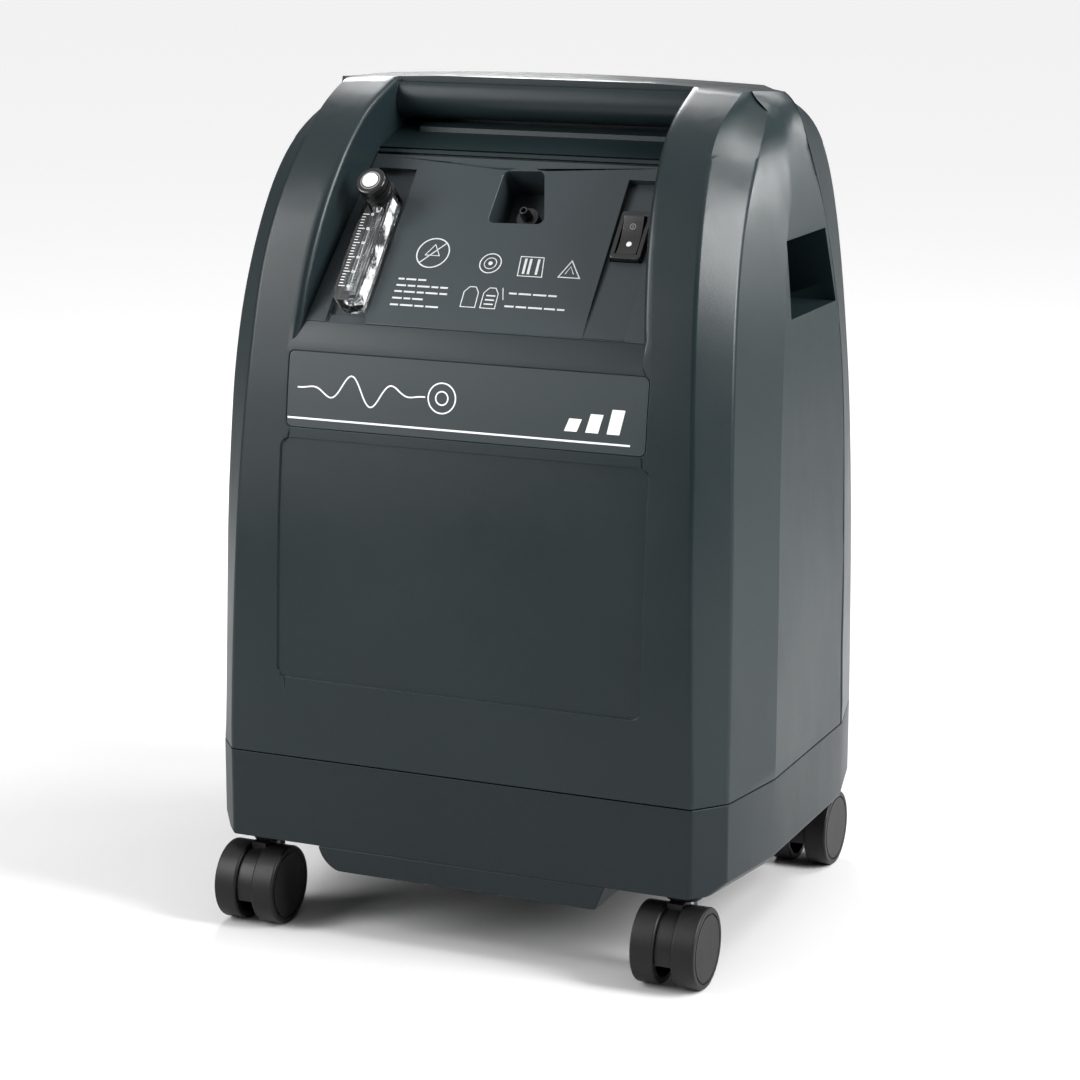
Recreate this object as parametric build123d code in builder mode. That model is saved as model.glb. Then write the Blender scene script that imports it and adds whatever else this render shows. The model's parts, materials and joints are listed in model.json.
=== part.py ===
"""Stationary oxygen concentrator on four twin-wheel casters.

+Z is up, the front faces -Y, and +X is to the right of a person who looks at the front.
The pieces are drawn about the middle of the cabinet at floor level, and finish() moves
each one by FRAME_SHIFT_Y, so that the origin is at floor level under the middle of the
whole object. All lengths in millimetres.
"""
from build123d import *
from math import cos, pi, radians, sin
import os

os.makedirs("parts", exist_ok=True)

# ---------------------------------------------------------------- driving dimensions
WIDTH = 358.0
DEPTH = 292.0
HEIGHT = 528.0
WALL = 3.0
SEAM_Z = 114.0            # base tub meets the upper cabinet
SEAM_GAP = 0.8            # shadow line between two mouldings
BASE_Z = 58.0             # underside of the base tub
PAN_Z = 43.0              # underside of the belly pan
CROWN_RADIUS = 2200.0

# corner lines of the upper cabinet, right half: height, then front corner, first and
# second facet corner, side seam, rear facet corner and rear corner as (x, y)
STATIONS = [
    (114, (154.0, -146.0), (170.0, -126.0), (179.0, -68.0), (179.0, 65.0), (166.0, 122.0), (146.0, 146.0)),
    (152, (153.2, -145.8), (169.3, -124.0), (178.6, -66.0), (178.6, 65.0), (165.6, 122.0), (145.6, 146.0)),
    (190, (152.0, -144.8), (168.8, -122.6), (178.0, -64.5), (178.0, 65.0), (165.0, 122.0), (145.0, 146.0)),
    (229, (150.8, -143.2), (168.3, -121.4), (177.2, -62.5), (177.2, 65.5), (164.2, 122.0), (144.2, 146.0)),
    (267, (149.4, -140.8), (167.6, -120.0), (175.8, -59.5), (175.8, 67.0), (163.0, 122.0), (143.0, 146.0)),
    (306, (148.0, -136.6), (166.3, -117.8), (174.0, -54.5), (174.0, 69.5), (161.3, 121.8), (141.6, 145.4)),
    (344, (146.0, -132.0), (165.0, -114.5), (172.2, -48.5), (172.2, 68.5), (159.4, 120.0), (139.6, 143.0)),
    (382, (143.8, -125.8), (163.0, -108.0), (169.8, -40.0), (169.8, 64.5), (157.0, 117.0), (137.4, 139.5)),
    (419, (141.6, -117.0), (160.4, -97.0), (166.8, -30.0), (166.8, 57.0), (154.8, 111.5), (135.0, 134.5)),
    (454, (138.4, -102.0), (157.8, -80.0), (163.5, -19.0), (163.5, 46.0), (152.0, 104.0), (132.5, 127.5)),
    (485, (134.6, -80.5), (154.6, -54.0), (159.0, -10.0), (159.5, 33.0), (149.5, 88.0), (130.5, 112.0)),
    (510, (132.7, -51.0), (145.5, -13.0), (147.0, -7.0), (155.5, 20.0), (146.0, 52.0), (129.0, 77.0)),
    (529, (132.0, -8.0), (133.5, -7.0), (134.5, -6.0), (145.0, 3.0), (138.0, 8.0), (126.0, 26.0)),
]
TOP_STATION_Z = STATIONS[-1][0]

# side seam between the front and the rear cabinet, as (y, z)
SEAM_LINE = [
    (65, 100), (65, 216), (69.5, 306), (68.5, 344), (64.5, 382),
    (57, 419), (46, 454), (32, 485), (20, 510), (9, 524), (0, 540),
]

# recess between the front pillars
LIP = (-127.5, 373.0)
RECESS_HALF_LOW = 113.0
RECESS_HALF_HIGH = 98.0
RECESS_HIGH_Z = 523.0
RECESS_WALL = 6.5
PANEL_FOOT = (-124.5, 380.0)
PANEL_ANGLE = 49.1
PANEL_T = 3.0
PANEL_V0 = 6.5            # distances up the panel from its foot
PANEL_V1 = 132.0
GROOVE_W = 1.3
GROOVE_DEPTH = 1.8
RIB_W = 2.5
SHELF_REAR = (1.0, 496.5)
BAR_CENTRE = (-3.0, 514.0)
BAR_R = 14.4
BAR_ARC = (-60.0, -157.0)     # start angle and sweep of the bar's open side
BAR_STEP_Y = -12.6

# casters
WHEEL_R = 25.0
WHEEL_W = 15.0
CASTER_W = 41.0
AXLE_R = 3.0
STEM_R = 5.5
CASTER_X = 141.0
CASTER_FRONT_Y = -120.0
CASTER_REAR_Y = 129.5
TRAIL = 14.5
RUN = 0.05                # radial running clearance

# the object reaches from the front wheels to the end of the breaker button
BUTTON_END_Y = DEPTH / 2 + 5
FRAME_SHIFT_Y = (TRAIL + WHEEL_R - CASTER_FRONT_Y - BUTTON_END_Y) / 2

# outline of the base, which is the lowest outline of the cabinet
CASE_CORNERS = STATIONS[0][1:]

# side hand grips
GRIP_LOW_Z = 390.0
GRIP_HIGH_Z = 437.0
GRIP_FRONT_Y = -26.0
GRIP_DEPTH = 36.0
GRIP_WALL = 2.5

# front cabinet
PANEL_PLANE = Plane(
    origin=(0, *PANEL_FOOT), x_dir=(1, 0, 0),
    z_dir=(0, -sin(radians(PANEL_ANGLE)), cos(radians(PANEL_ANGLE))),
)
WINDOW_HALF = 100.5
SHELF_LIP_LEFT = -85.0
SHELF_LIP_RIGHT = RECESS_HALF_HIGH + RECESS_WALL / 2
SHELF_LIP = [(-12.5, 491.5), (-12.0, 494.8), (-4.5, 497.4), (-3.5, 494.6)]
# relieved areas of the front face: half width, lower and upper edge, corner radius
NAMEPLATE = (118.0, 321.0, 367.5, 4.0)
LOWER_PANEL = (121.0, 165.0, 314.5, 6.0)
RELIEF = 1.2

# rear cabinet
FILTER_HALF_X = 58.0
FILTER_LOW_Z = 215.0
FILTER_HIGH_Z = 305.0
FILTER_DEPTH = 18.0
CORD_HALF_X = 110.0
CORD_LOW_Z = 128.0
CORD_HIGH_Z = 203.0
CORD_DEPTH = 22.0
REAR_Y = DEPTH / 2
VENT_SLOTS = (5, 14.0, 90.0, 7.0)     # count, pitch, length and width
METER_PLACE = (98.0, 285.0)           # places on the rear face are (x, z)
METER_BODY = (36.0, 24.0)
BREAKER_PLACE = (98.0, 240.0)
BREAKER_R = 6.0
BUTTON_R = 3.5
SCREW_R = 2.0
SCREW_Z = 120.0
SCREW_REAR_X = (-125.0, -60.0, 60.0, 125.0)

# base tub and belly pan
BASE_WALL = 3.0
TONGUE_TOP = 123.0
SOCKET_R = 10.0
SOCKET_TOP = 92.0
STEM_TOP = 88.0
PAN_LEFT = -80.0
PAN_RIGHT = 93.0
PAN_REAR = 100.0
PAN_SCREWS = [(-65, -120), (78, -120), (-65, 75), (78, 75)]

# casters
HOOD_HALF = CASTER_W / 2 - WHEEL_W - 0.5
AXLE_HALF = CASTER_W / 2 - 3.0

# control panel and its fittings
CHANNEL_DEPTH = 4.0
CHANNEL_X = 84.4
CHANNEL_W = 26.6
CHANNEL_LOW_V = 13.0
CHANNEL_HIGH_V = 121.0
TRAY_WALL = 0.8
FOOT_DEPTH = 2.0          # shallow run-out of the left channel
RAMP_LOW = (8.0, 0.8)     # sloping floor of the right channel: distance up the panel, depth
RAMP_HIGH = (121.0, 5.0)
FLOW_X = -84.0
FLOW_W = 17.0
FLOW_LOW_V = 16.0
FLOW_HIGH_V = 103.0
FLOW_T = 15.0
TUBE_R = 4.0
FLOAT_R = 3.5
KNOB_V = 92.3
KNOB_X = -83.5
SWITCH_X = 83.0
SWITCH_V = 81.0
SWITCH_W = 20.0
SWITCH_H = 34.0
OUTLET_X = 5.5
OUTLET_V = 99.0
POCKET_DEPTH = 26.0
# stem, flange, threaded body and nose of the outlet: start above the pocket floor, radius, length
OUTLET_STEPS = ((-12.5, 4.0, 14.0), (0.02, 9.0, 3.0), (3.0, 7.1, 9.0), (12.0, 2.6, 8.0))
POCKET = [(-12.5, 85.0), (24.6, 86.0), (14.0, 124.0), (-12.0, 123.0)]
FLOW_BASE = -CHANNEL_DEPTH + 0.1
VALVE_R = 8.3
VALVE_TOP = 18.5
NEEDLE_RISE = 6.5         # length of the needle inside the knob
KNOB_R = 9.6
KNOB_TOP = 28.0
KNOB_NECK = 5.0           # height of the grooved waist below the head
CAP_R = 5.0
CAP_RING_R = 6.6
SPINDLE_R = 2.5
SWITCH_TILT = 8.0
SWITCH_FLOOR = -CHANNEL_DEPTH

# rear fittings
CORD_R = 3.6
BOOT_R = 5.0
CORD_Y = REAR_Y - CORD_DEPTH + BOOT_R + 0.5
CORD_MIDDLE_Z = (CORD_LOW_Z + CORD_HIGH_Z) / 2
CORD_BEND_X = 60.0
CORD_BEND_R = 32.0
CORD_PITCH = 8.2
BOOT_X = (-99.0, -84.0)
PLUG_X = (-30.0, 25.0)
STRAIN_X = -93.0
STRAIN_R = 4.0

# inside the cabinet
FLOOR_Z = BASE_Z + BASE_WALL
BULKHEAD_Y = 25.0
BULKHEAD_T = 3.0
BULKHEAD_W = 250.0
BULKHEAD_TOP = 440.0
FAN_Z = 290.0
FAN_HALF = 60.0
FAN_BORE = 57.0
FAN_HUB = 19.0
FAN_DEPTH = 25.0
BLADES = 7
BLADE_LENGTH = 37.0
MOTOR_Y = -45.0
MOTOR_Z = 130.0
MOTOR_R = 45.0
MOTOR_LENGTH = 130.0
SHAFT_R = 6.0
CYLINDER_X = 38.0         # the two cylinders stand above the motor at plus and minus this
CYLINDER_R = 20.0
BED_X = 114.0
BED_Y = 80.0
BED_R = 33.0
BED_TOP = 335.0
BED_LIP = 1.5
MANIFOLD_Y = 52.0
MANIFOLD_Z = 345.0
MANIFOLD_T = 28.0
HOSE_R = 5.0
BOARD_Y = 12.0
BOARD_Z = 396.0
BOARD_T = 1.6
REGULATOR_PLACE = (-92.0, 300.0)      # places on the bulkhead are (x, z)
OUTLET_FILTER_PLACE = (92.0, 300.0)
COIL_HALF = 55.0
COIL_Y = -14.0
COIL_ROWS = 5
COIL_PITCH = 20.0
# standing cans: x, y, top, radius, lip
CANS = {
    "product_tank": (0, 77, 300, 35.0, 1.0),
    "intake_filter_can": (-120, -85, 170, 29.0, 1.5),
    "exhaust_silencer": (120, -85, 185, 27.0, 1.5),
    "run_capacitor": (-120, -12, 140, 19.0, 0.0),
}
MOUNTS = [(-48, -78), (48, -78), (-48, -12), (48, -12)]


def finish(builder, name):
    """Moves a piece into the object's frame, labels it and writes it."""
    piece = builder.part.moved(Location((0, FRAME_SHIFT_Y, 0)))
    piece.label = name
    export_step(piece, f"parts/{name}.step")


def mirrored(points):
    """Closed outline from its right half."""
    return list(points) + [(-x, y) for x, y in reversed(points)]


# ---------------------------------------------------------------- cabinet form
def inset_corners(corners, inset):
    """Corners moved in by about inset on every side."""
    half = corners[3][0]
    low = corners[0][1]
    high = corners[5][1]
    middle = (low + high) / 2
    along_x = 1 - inset / half
    along_y = 1 - inset / ((high - low) / 2 + inset)
    return [(x * along_x, middle + (y - middle) * along_y) for x, y in corners]


def cabinet_form(inset):
    """Closed form of the upper cabinet with its crowned top, drawn in by inset."""
    with BuildPart() as form:
        for z, *corners in STATIONS:
            share = (z - SEAM_Z) / (TOP_STATION_Z - SEAM_Z)
            level = z - inset * (0.5 + 0.5 * share) if inset else z
            with BuildSketch(Plane.XY.offset(level)):
                Polygon(*mirrored(inset_corners(corners, inset)), align=None)
        loft()
        with BuildSketch(Plane.XZ):
            with Locations((0, HEIGHT - inset - CROWN_RADIUS)):
                Circle(CROWN_RADIUS)
        extrude(amount=2 * DEPTH, both=True, mode=Mode.INTERSECT)
    return form.part


def side_region(ahead):
    """Block on one side of the seam line, ahead of it or behind it."""
    shift = -SEAM_GAP / 2 if ahead else SEAM_GAP / 2
    far = -260 if ahead else 260
    points = [(y + shift, z) for y, z in SEAM_LINE]
    with BuildPart() as region:
        with BuildSketch(Plane.YZ):
            with BuildLine():
                seam = Spline(*points)
                Polyline(points[-1], (far, points[-1][1]), (far, points[0][1]), points[0])
            make_face()
        extrude(amount=WIDTH, both=True)
    return region.part


def panel_side(v, depth):
    """Point (y, z) at distance v up the panel and depth below its face."""
    rise = radians(PANEL_ANGLE)
    y = PANEL_FOOT[0] + v * cos(rise) + depth * sin(rise)
    z = PANEL_FOOT[1] + v * sin(rise) - depth * cos(rise)
    return (y, z)


def recess_outline():
    """Side outline of the open space between the pillars, in the YZ plane.

    It runs up the lip and the panel, over two grooves with a rib between them, along
    the shelf, round the finger hollow and over the rolled carrying bar.
    """
    outline = [(-DEPTH, LIP[1]), LIP, panel_side(PANEL_V0, 0)]
    v = PANEL_V1
    for rib in (RIB_W, 0):
        outline += [panel_side(v, 0), panel_side(v, GROOVE_DEPTH), panel_side(v + GROOVE_W, GROOVE_DEPTH)]
        v += GROOVE_W
        outline.append(panel_side(v, 0))
        v += rib
    outline += [SHELF_REAR, (4.0, 490.0), (15.0, 490.0), (15.0, 505.0)]
    with BuildLine() as line:
        bar = CenterArc(BAR_CENTRE, BAR_R, *BAR_ARC)
        Polyline(*outline, bar @ 0)
        step_z = (bar @ 1).Y
        above = HEIGHT + 32
        Polyline(bar @ 1, (BAR_STEP_Y, step_z), (BAR_STEP_Y, above), (-DEPTH, above), outline[0])
    return line.line


def recess_space(grow):
    """Open space between the pillars, grown by grow for its walls."""
    half_low = RECESS_HALF_LOW + grow
    half_high = RECESS_HALF_HIGH + grow
    slope = (half_low - half_high) / (RECESS_HIGH_Z - LIP[1])
    low_z = LIP[1] - 40
    high_z = 570
    with BuildPart() as space:
        with BuildSketch(Plane.YZ):
            with BuildLine():
                add(recess_outline())
            make_face()
            if grow:
                offset(amount=grow, kind=Kind.INTERSECTION)
        extrude(amount=WIDTH, both=True)
        with BuildSketch(Plane.XZ):
            wide = half_low + slope * (LIP[1] - low_z)
            narrow = half_high - slope * (high_z - RECESS_HIGH_Z)
            Polygon((-wide, low_z), (wide, low_z), (narrow, high_z), (-narrow, high_z), align=None)
        extrude(amount=2 * DEPTH, both=True, mode=Mode.INTERSECT)
    return space.part


OUTER = cabinet_form(0)
INNER = cabinet_form(WALL)


def front_patch(half_width, low_z, high_z, radius, shallow, deep):
    """Sheet that follows the front face between two depths, with a rounded outline."""
    with BuildPart() as patch:
        with BuildSketch(Plane.XZ.offset(100)):
            with Locations((0, (low_z + high_z) / 2)):
                RectangleRounded(2 * half_width, high_z - low_z, radius)
        extrude(amount=80)
        if shallow:
            add(cabinet_form(shallow), mode=Mode.INTERSECT)
        add(cabinet_form(deep), mode=Mode.SUBTRACT)
    return patch.part


# ---------------------------------------------------------------- side hand grips
def grip_space(side, grow):
    """Finger pocket behind the opening in one cabinet side."""
    outside = side * 200
    floor = side * (168 - GRIP_DEPTH - grow)
    with BuildPart() as space:
        with BuildSketch(Plane.YZ.offset(floor)):
            Polygon(
                (GRIP_FRONT_Y, GRIP_LOW_Z), (GRIP_FRONT_Y, GRIP_HIGH_Z), (47.0, GRIP_HIGH_Z),
                (60.0, GRIP_LOW_Z), align=None,
            )
            if grow:
                offset(amount=grow, kind=Kind.INTERSECTION)
        extrude(amount=outside - floor)
    return space.part


# ---------------------------------------------------------------- front cabinet
def panel_outline(clear):
    """Trapezoid of the control panel in its own plane, shrunk by clear."""
    rise = sin(radians(PANEL_ANGLE))
    taper = (RECESS_HALF_LOW - RECESS_HALF_HIGH) / (RECESS_HIGH_Z - LIP[1])
    low = RECESS_HALF_LOW - taper * (7.0 + PANEL_V0 * rise) - clear
    high = RECESS_HALF_LOW - taper * (7.0 + PANEL_V1 * rise) - clear
    v0 = PANEL_V0 + clear
    v1 = PANEL_V1 - clear
    return [(-low, v0), (low, v0), (high, v1), (-high, v1)]


def build_front_cabinet():
    with BuildPart() as shell:
        add(OUTER)
        add(INNER, mode=Mode.SUBTRACT)
        add(recess_space(RECESS_WALL) & OUTER)
        for side in (-1, 1):
            add(grip_space(side, GRIP_WALL) & OUTER)
        add(recess_space(0), mode=Mode.SUBTRACT)
        for side in (-1, 1):
            add(grip_space(side, 0), mode=Mode.SUBTRACT)
        with BuildSketch(PANEL_PLANE):
            Polygon(*panel_outline(0.0), align=None)
        extrude(amount=-PANEL_T - 0.2, mode=Mode.SUBTRACT)
        with BuildSketch(PANEL_PLANE):
            with Locations((0, (PANEL_V0 + PANEL_V1) / 2)):
                RectangleRounded(2 * WINDOW_HALF, PANEL_V1 - PANEL_V0 - 8, 1)
        extrude(amount=-25, mode=Mode.SUBTRACT)
        with BuildSketch(Plane.YZ.offset(SHELF_LIP_LEFT)):
            Polygon(*SHELF_LIP, align=None)
        extrude(amount=SHELF_LIP_RIGHT - SHELF_LIP_LEFT)
        half, low, high, radius = NAMEPLATE
        add(front_patch(half, low, high, radius, 0, RELIEF), mode=Mode.SUBTRACT)
        half, low, high, radius = LOWER_PANEL
        add(front_patch(half, low, high, radius, 0, RELIEF), mode=Mode.SUBTRACT)
        with BuildSketch(Plane.XY.offset(SEAM_Z - 5)):
            Rectangle(2 * WIDTH, 2 * DEPTH)
        extrude(amount=5 + SEAM_GAP / 2, mode=Mode.SUBTRACT)
        add(side_region(True), mode=Mode.INTERSECT)
    return shell


# ---------------------------------------------------------------- rear cabinet
def screw_places_rear():
    """Holes for the rear screws, along Y."""
    return [Location((x, REAR_Y, SCREW_Z), (90, 0, 0)) for x in SCREW_REAR_X]


def rear_box(half_x, low_z, high_z, depth, radius):
    """Rounded block that reaches depth into the rear face."""
    with BuildPart() as block:
        with BuildSketch(Plane.XZ.offset(-(REAR_Y + 2))):
            with Locations((0, (low_z + high_z) / 2)):
                RectangleRounded(2 * half_x, high_z - low_z, radius)
        extrude(amount=depth + 2)
    return block.part


def build_rear_cabinet():
    wall = WALL - 0.5
    count, pitch, length, width = VENT_SLOTS
    with BuildPart() as shell:
        add(OUTER)
        add(INNER, mode=Mode.SUBTRACT)
        for half, low, high, depth in (
            (FILTER_HALF_X, FILTER_LOW_Z, FILTER_HIGH_Z, FILTER_DEPTH),
            (CORD_HALF_X, CORD_LOW_Z, CORD_HIGH_Z, CORD_DEPTH),
        ):
            add(rear_box(half + wall, low - wall, high + wall, depth + wall, 6) & OUTER)
            add(rear_box(half, low, high, depth, 4), mode=Mode.SUBTRACT)
        with BuildSketch(Plane.XZ.offset(-REAR_Y - 2)):
            with Locations((0, (FILTER_LOW_Z + FILTER_HIGH_Z) / 2)):
                with GridLocations(0, pitch, 1, count):
                    SlotOverall(length, width)
            with Locations(METER_PLACE):
                Rectangle(METER_BODY[0] + 0.4, METER_BODY[1] + 0.4)
            with Locations(BREAKER_PLACE):
                Circle(BREAKER_R + 0.2)
            with Locations((STRAIN_X, CORD_MIDDLE_Z - CORD_BEND_R)):
                Circle(STRAIN_R + 0.1)
        extrude(amount=30, mode=Mode.SUBTRACT)
        with BuildSketch(Plane.XY.offset(SEAM_Z - 5)):
            Rectangle(2 * WIDTH, 2 * DEPTH)
        extrude(amount=5 + SEAM_GAP / 2, mode=Mode.SUBTRACT)
        add(side_region(False), mode=Mode.INTERSECT)
        with Locations(*screw_places_rear()):
            Cylinder(SCREW_R + 0.2, 20, mode=Mode.SUBTRACT)
    return shell


# ---------------------------------------------------------------- base tub and belly pan
def caster_places():
    """Stem centres by corner name."""
    rear_y = CASTER_REAR_Y
    return {
        "front_left": (-CASTER_X, CASTER_FRONT_Y),
        "front_right": (CASTER_X, CASTER_FRONT_Y),
        "rear_left": (-CASTER_X, rear_y),
        "rear_right": (CASTER_X, rear_y),
    }


def base_outline(inset):
    return mirrored(inset_corners(CASE_CORNERS, inset))


def build_base():
    with BuildPart() as tub:
        with BuildSketch(Plane.XY.offset(BASE_Z)):
            Polygon(*base_outline(0), align=None)
        extrude(amount=SEAM_Z - SEAM_GAP / 2 - BASE_Z)
        bottom = tub.faces().sort_by(Axis.Z)[0].edges()
        side_edges = [edge for edge in bottom if abs(edge.center().X) > 165]
        chamfer(side_edges, 7)
        with BuildSketch(Plane.XY.offset(BASE_Z + BASE_WALL)):
            Polygon(*base_outline(BASE_WALL + 5), align=None)
        with BuildSketch(Plane.XY.offset(BASE_Z + BASE_WALL + 8)):
            Polygon(*base_outline(BASE_WALL + 2), align=None)
        loft(mode=Mode.SUBTRACT)
        with BuildSketch(Plane.XY.offset(BASE_Z + BASE_WALL + 8)):
            Polygon(*base_outline(BASE_WALL + 2), align=None)
        extrude(amount=60, mode=Mode.SUBTRACT)
        with BuildSketch(Plane.XY.offset(SEAM_Z - 8)):
            Polygon(*base_outline(BASE_WALL + 0.8), align=None)
            Polygon(*base_outline(BASE_WALL + 3.5), align=None, mode=Mode.SUBTRACT)
        extrude(amount=TONGUE_TOP - SEAM_Z + 8)
        with BuildSketch(Plane.XY.offset(BASE_Z)):
            with Locations(*caster_places().values()):
                Circle(SOCKET_R)
        extrude(amount=SOCKET_TOP - BASE_Z)
        with BuildSketch(Plane.XY.offset(BASE_Z)):
            with Locations(*caster_places().values()):
                Circle(STEM_R + RUN)
        extrude(amount=STEM_TOP + 0.5 - BASE_Z, mode=Mode.SUBTRACT)
        with BuildSketch(Plane.XZ.offset(-REAR_Y - 1)):
            with Locations((0, 86)):
                with GridLocations(11, 0, 15, 1):
                    SlotOverall(30, 5, rotation=90)
        extrude(amount=12, mode=Mode.SUBTRACT)
        with Locations(*screw_places_rear()):
            Cylinder(SCREW_R, 24, mode=Mode.SUBTRACT)
        with BuildSketch(Plane.XY.offset(BASE_Z - 1)):
            with Locations(*PAN_SCREWS):
                Circle(SCREW_R)
        extrude(amount=10, mode=Mode.SUBTRACT)
    return tub


def build_belly_pan():
    arch = 14.0
    top = BASE_Z - 0.02
    with BuildPart() as pan:
        with BuildSketch(Plane.XZ.offset(146)):
            with BuildLine():
                Line((PAN_LEFT, PAN_Z), (PAN_RIGHT, PAN_Z))
                Line((PAN_RIGHT, PAN_Z), (PAN_RIGHT + 6, top))
                Line((PAN_RIGHT + 6, top), (PAN_LEFT - arch, top))
                RadiusArc((PAN_LEFT - arch, top), (PAN_LEFT, PAN_Z), -20)
            make_face()
        extrude(amount=-(146 + PAN_REAR))
        fillet(pan.faces().sort_by(Axis.Y)[-1].edges().filter_by(Axis.Z, reverse=True).sort_by(Axis.Z)[:1], 6)
        with BuildSketch(Plane.XY.offset(PAN_Z + 3)):
            with Locations(((PAN_LEFT + PAN_RIGHT) / 2, (PAN_REAR - 146) / 2)):
                Rectangle(PAN_RIGHT - PAN_LEFT - 14, PAN_REAR + 146 - 12)
        extrude(amount=30, mode=Mode.SUBTRACT)
        with BuildSketch(Plane.XY.offset(PAN_Z)):
            with Locations(*PAN_SCREWS):
                Circle(7)
        extrude(amount=top - PAN_Z)
        with BuildSketch(Plane.XY.offset(PAN_Z)):
            with Locations(*PAN_SCREWS):
                Circle(SCREW_R + 0.2)
        extrude(amount=20, mode=Mode.SUBTRACT)
        with BuildSketch(Plane.XY.offset(PAN_Z)):
            with Locations(*PAN_SCREWS):
                Circle(4.2)
        extrude(amount=3, mode=Mode.SUBTRACT)
    return pan


# ---------------------------------------------------------------- casters
def build_caster_hood(place):
    x, stem_y = place
    y = stem_y - TRAIL
    with BuildPart() as hood:
        with BuildSketch(Plane.YZ.offset(x - HOOD_HALF)):
            with Locations((y, WHEEL_R)):
                Circle(WHEEL_R - 2.5)
            with Locations((y, WHEEL_R - 20)):
                Rectangle(80, 26, mode=Mode.SUBTRACT)
            with Locations((y, WHEEL_R)):
                Circle(9)
            with Locations((stem_y - 4, 39)):
                Rectangle(26, 24)
        extrude(amount=2 * HOOD_HALF)
        with BuildSketch(Plane.XY.offset(50.5)):
            with Locations((x, stem_y)):
                Circle(11)
        extrude(amount=6.5)
        with BuildSketch(Plane.XY.offset(35)):
            with Locations((x, stem_y)):
                Circle(STEM_R)
        extrude(amount=40, mode=Mode.SUBTRACT)
        with BuildSketch(Plane.YZ.offset(x - 20)):
            with Locations((y, WHEEL_R)):
                Circle(AXLE_R)
        extrude(amount=40, mode=Mode.SUBTRACT)
    return hood


def build_caster_pins(place):
    """Upright swivel stem and cross axle, two steel pins pressed into the hood."""
    x, stem_y = place
    with BuildPart() as pins:
        with BuildSketch(Plane.XY.offset(35)):
            with Locations((x, stem_y)):
                Circle(STEM_R)
        extrude(amount=STEM_TOP - 35)
        chamfer(pins.faces().sort_by(Axis.Z)[-1].edges(), 1)
        with BuildSketch(Plane.YZ.offset(x - AXLE_HALF)):
            with Locations((stem_y - TRAIL, WHEEL_R)):
                Circle(AXLE_R)
        extrude(amount=2 * AXLE_HALF)
        chamfer(pins.faces().filter_by(Axis.X).edges(), 0.5)
    return pins


def build_wheel(place, side):
    """Wheel of a twin caster; side is -1 for the left one and 1 for the right one."""
    x, stem_y = place
    centre = (stem_y - TRAIL, WHEEL_R)
    outer_x = x + side * CASTER_W / 2
    with BuildPart() as wheel:
        with BuildSketch(Plane.YZ.offset(outer_x)):
            with Locations(centre):
                Circle(WHEEL_R)
        extrude(amount=-side * WHEEL_W)
        fillet(wheel.edges().filter_by(GeomType.CIRCLE), 1.5)
        with BuildSketch(Plane.YZ.offset(outer_x - side * WHEEL_W)):
            with Locations(centre):
                Circle(WHEEL_R - 4)
                Circle(7, mode=Mode.SUBTRACT)
        extrude(amount=side * 9, mode=Mode.SUBTRACT)
        with BuildSketch(Plane.YZ.offset(outer_x)):
            with Locations(centre):
                Circle(WHEEL_R - 3.5)
                Circle(WHEEL_R - 4.5, mode=Mode.SUBTRACT)
        extrude(amount=-side * 1.0, mode=Mode.SUBTRACT)
        with BuildSketch(Plane.YZ.offset(outer_x - side * WHEEL_W)):
            with Locations(centre):
                Circle(AXLE_R + RUN)
        extrude(amount=side * (WHEEL_W - 2.8), mode=Mode.SUBTRACT)
    return wheel


# ---------------------------------------------------------------- control panel and its fittings
def ramp_channel(grow):
    """Wedge cut for the power switch, whose floor sinks towards its upper end."""
    low_v, low_depth = RAMP_LOW
    high_v, high_depth = RAMP_HIGH
    floor = [(low_v - grow, low_depth + grow), (high_v + grow, high_depth + grow)]
    outline = [(low_v - grow, -0.01), *floor, (high_v + grow, -0.01)]
    with BuildPart() as wedge:
        with BuildSketch(Plane.YZ.offset(CHANNEL_X - CHANNEL_W / 2 - grow)):
            Polygon(*[panel_side(v, depth) for v, depth in outline], align=None)
        extrude(amount=CHANNEL_W + 2 * grow)
    return wedge.part


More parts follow.
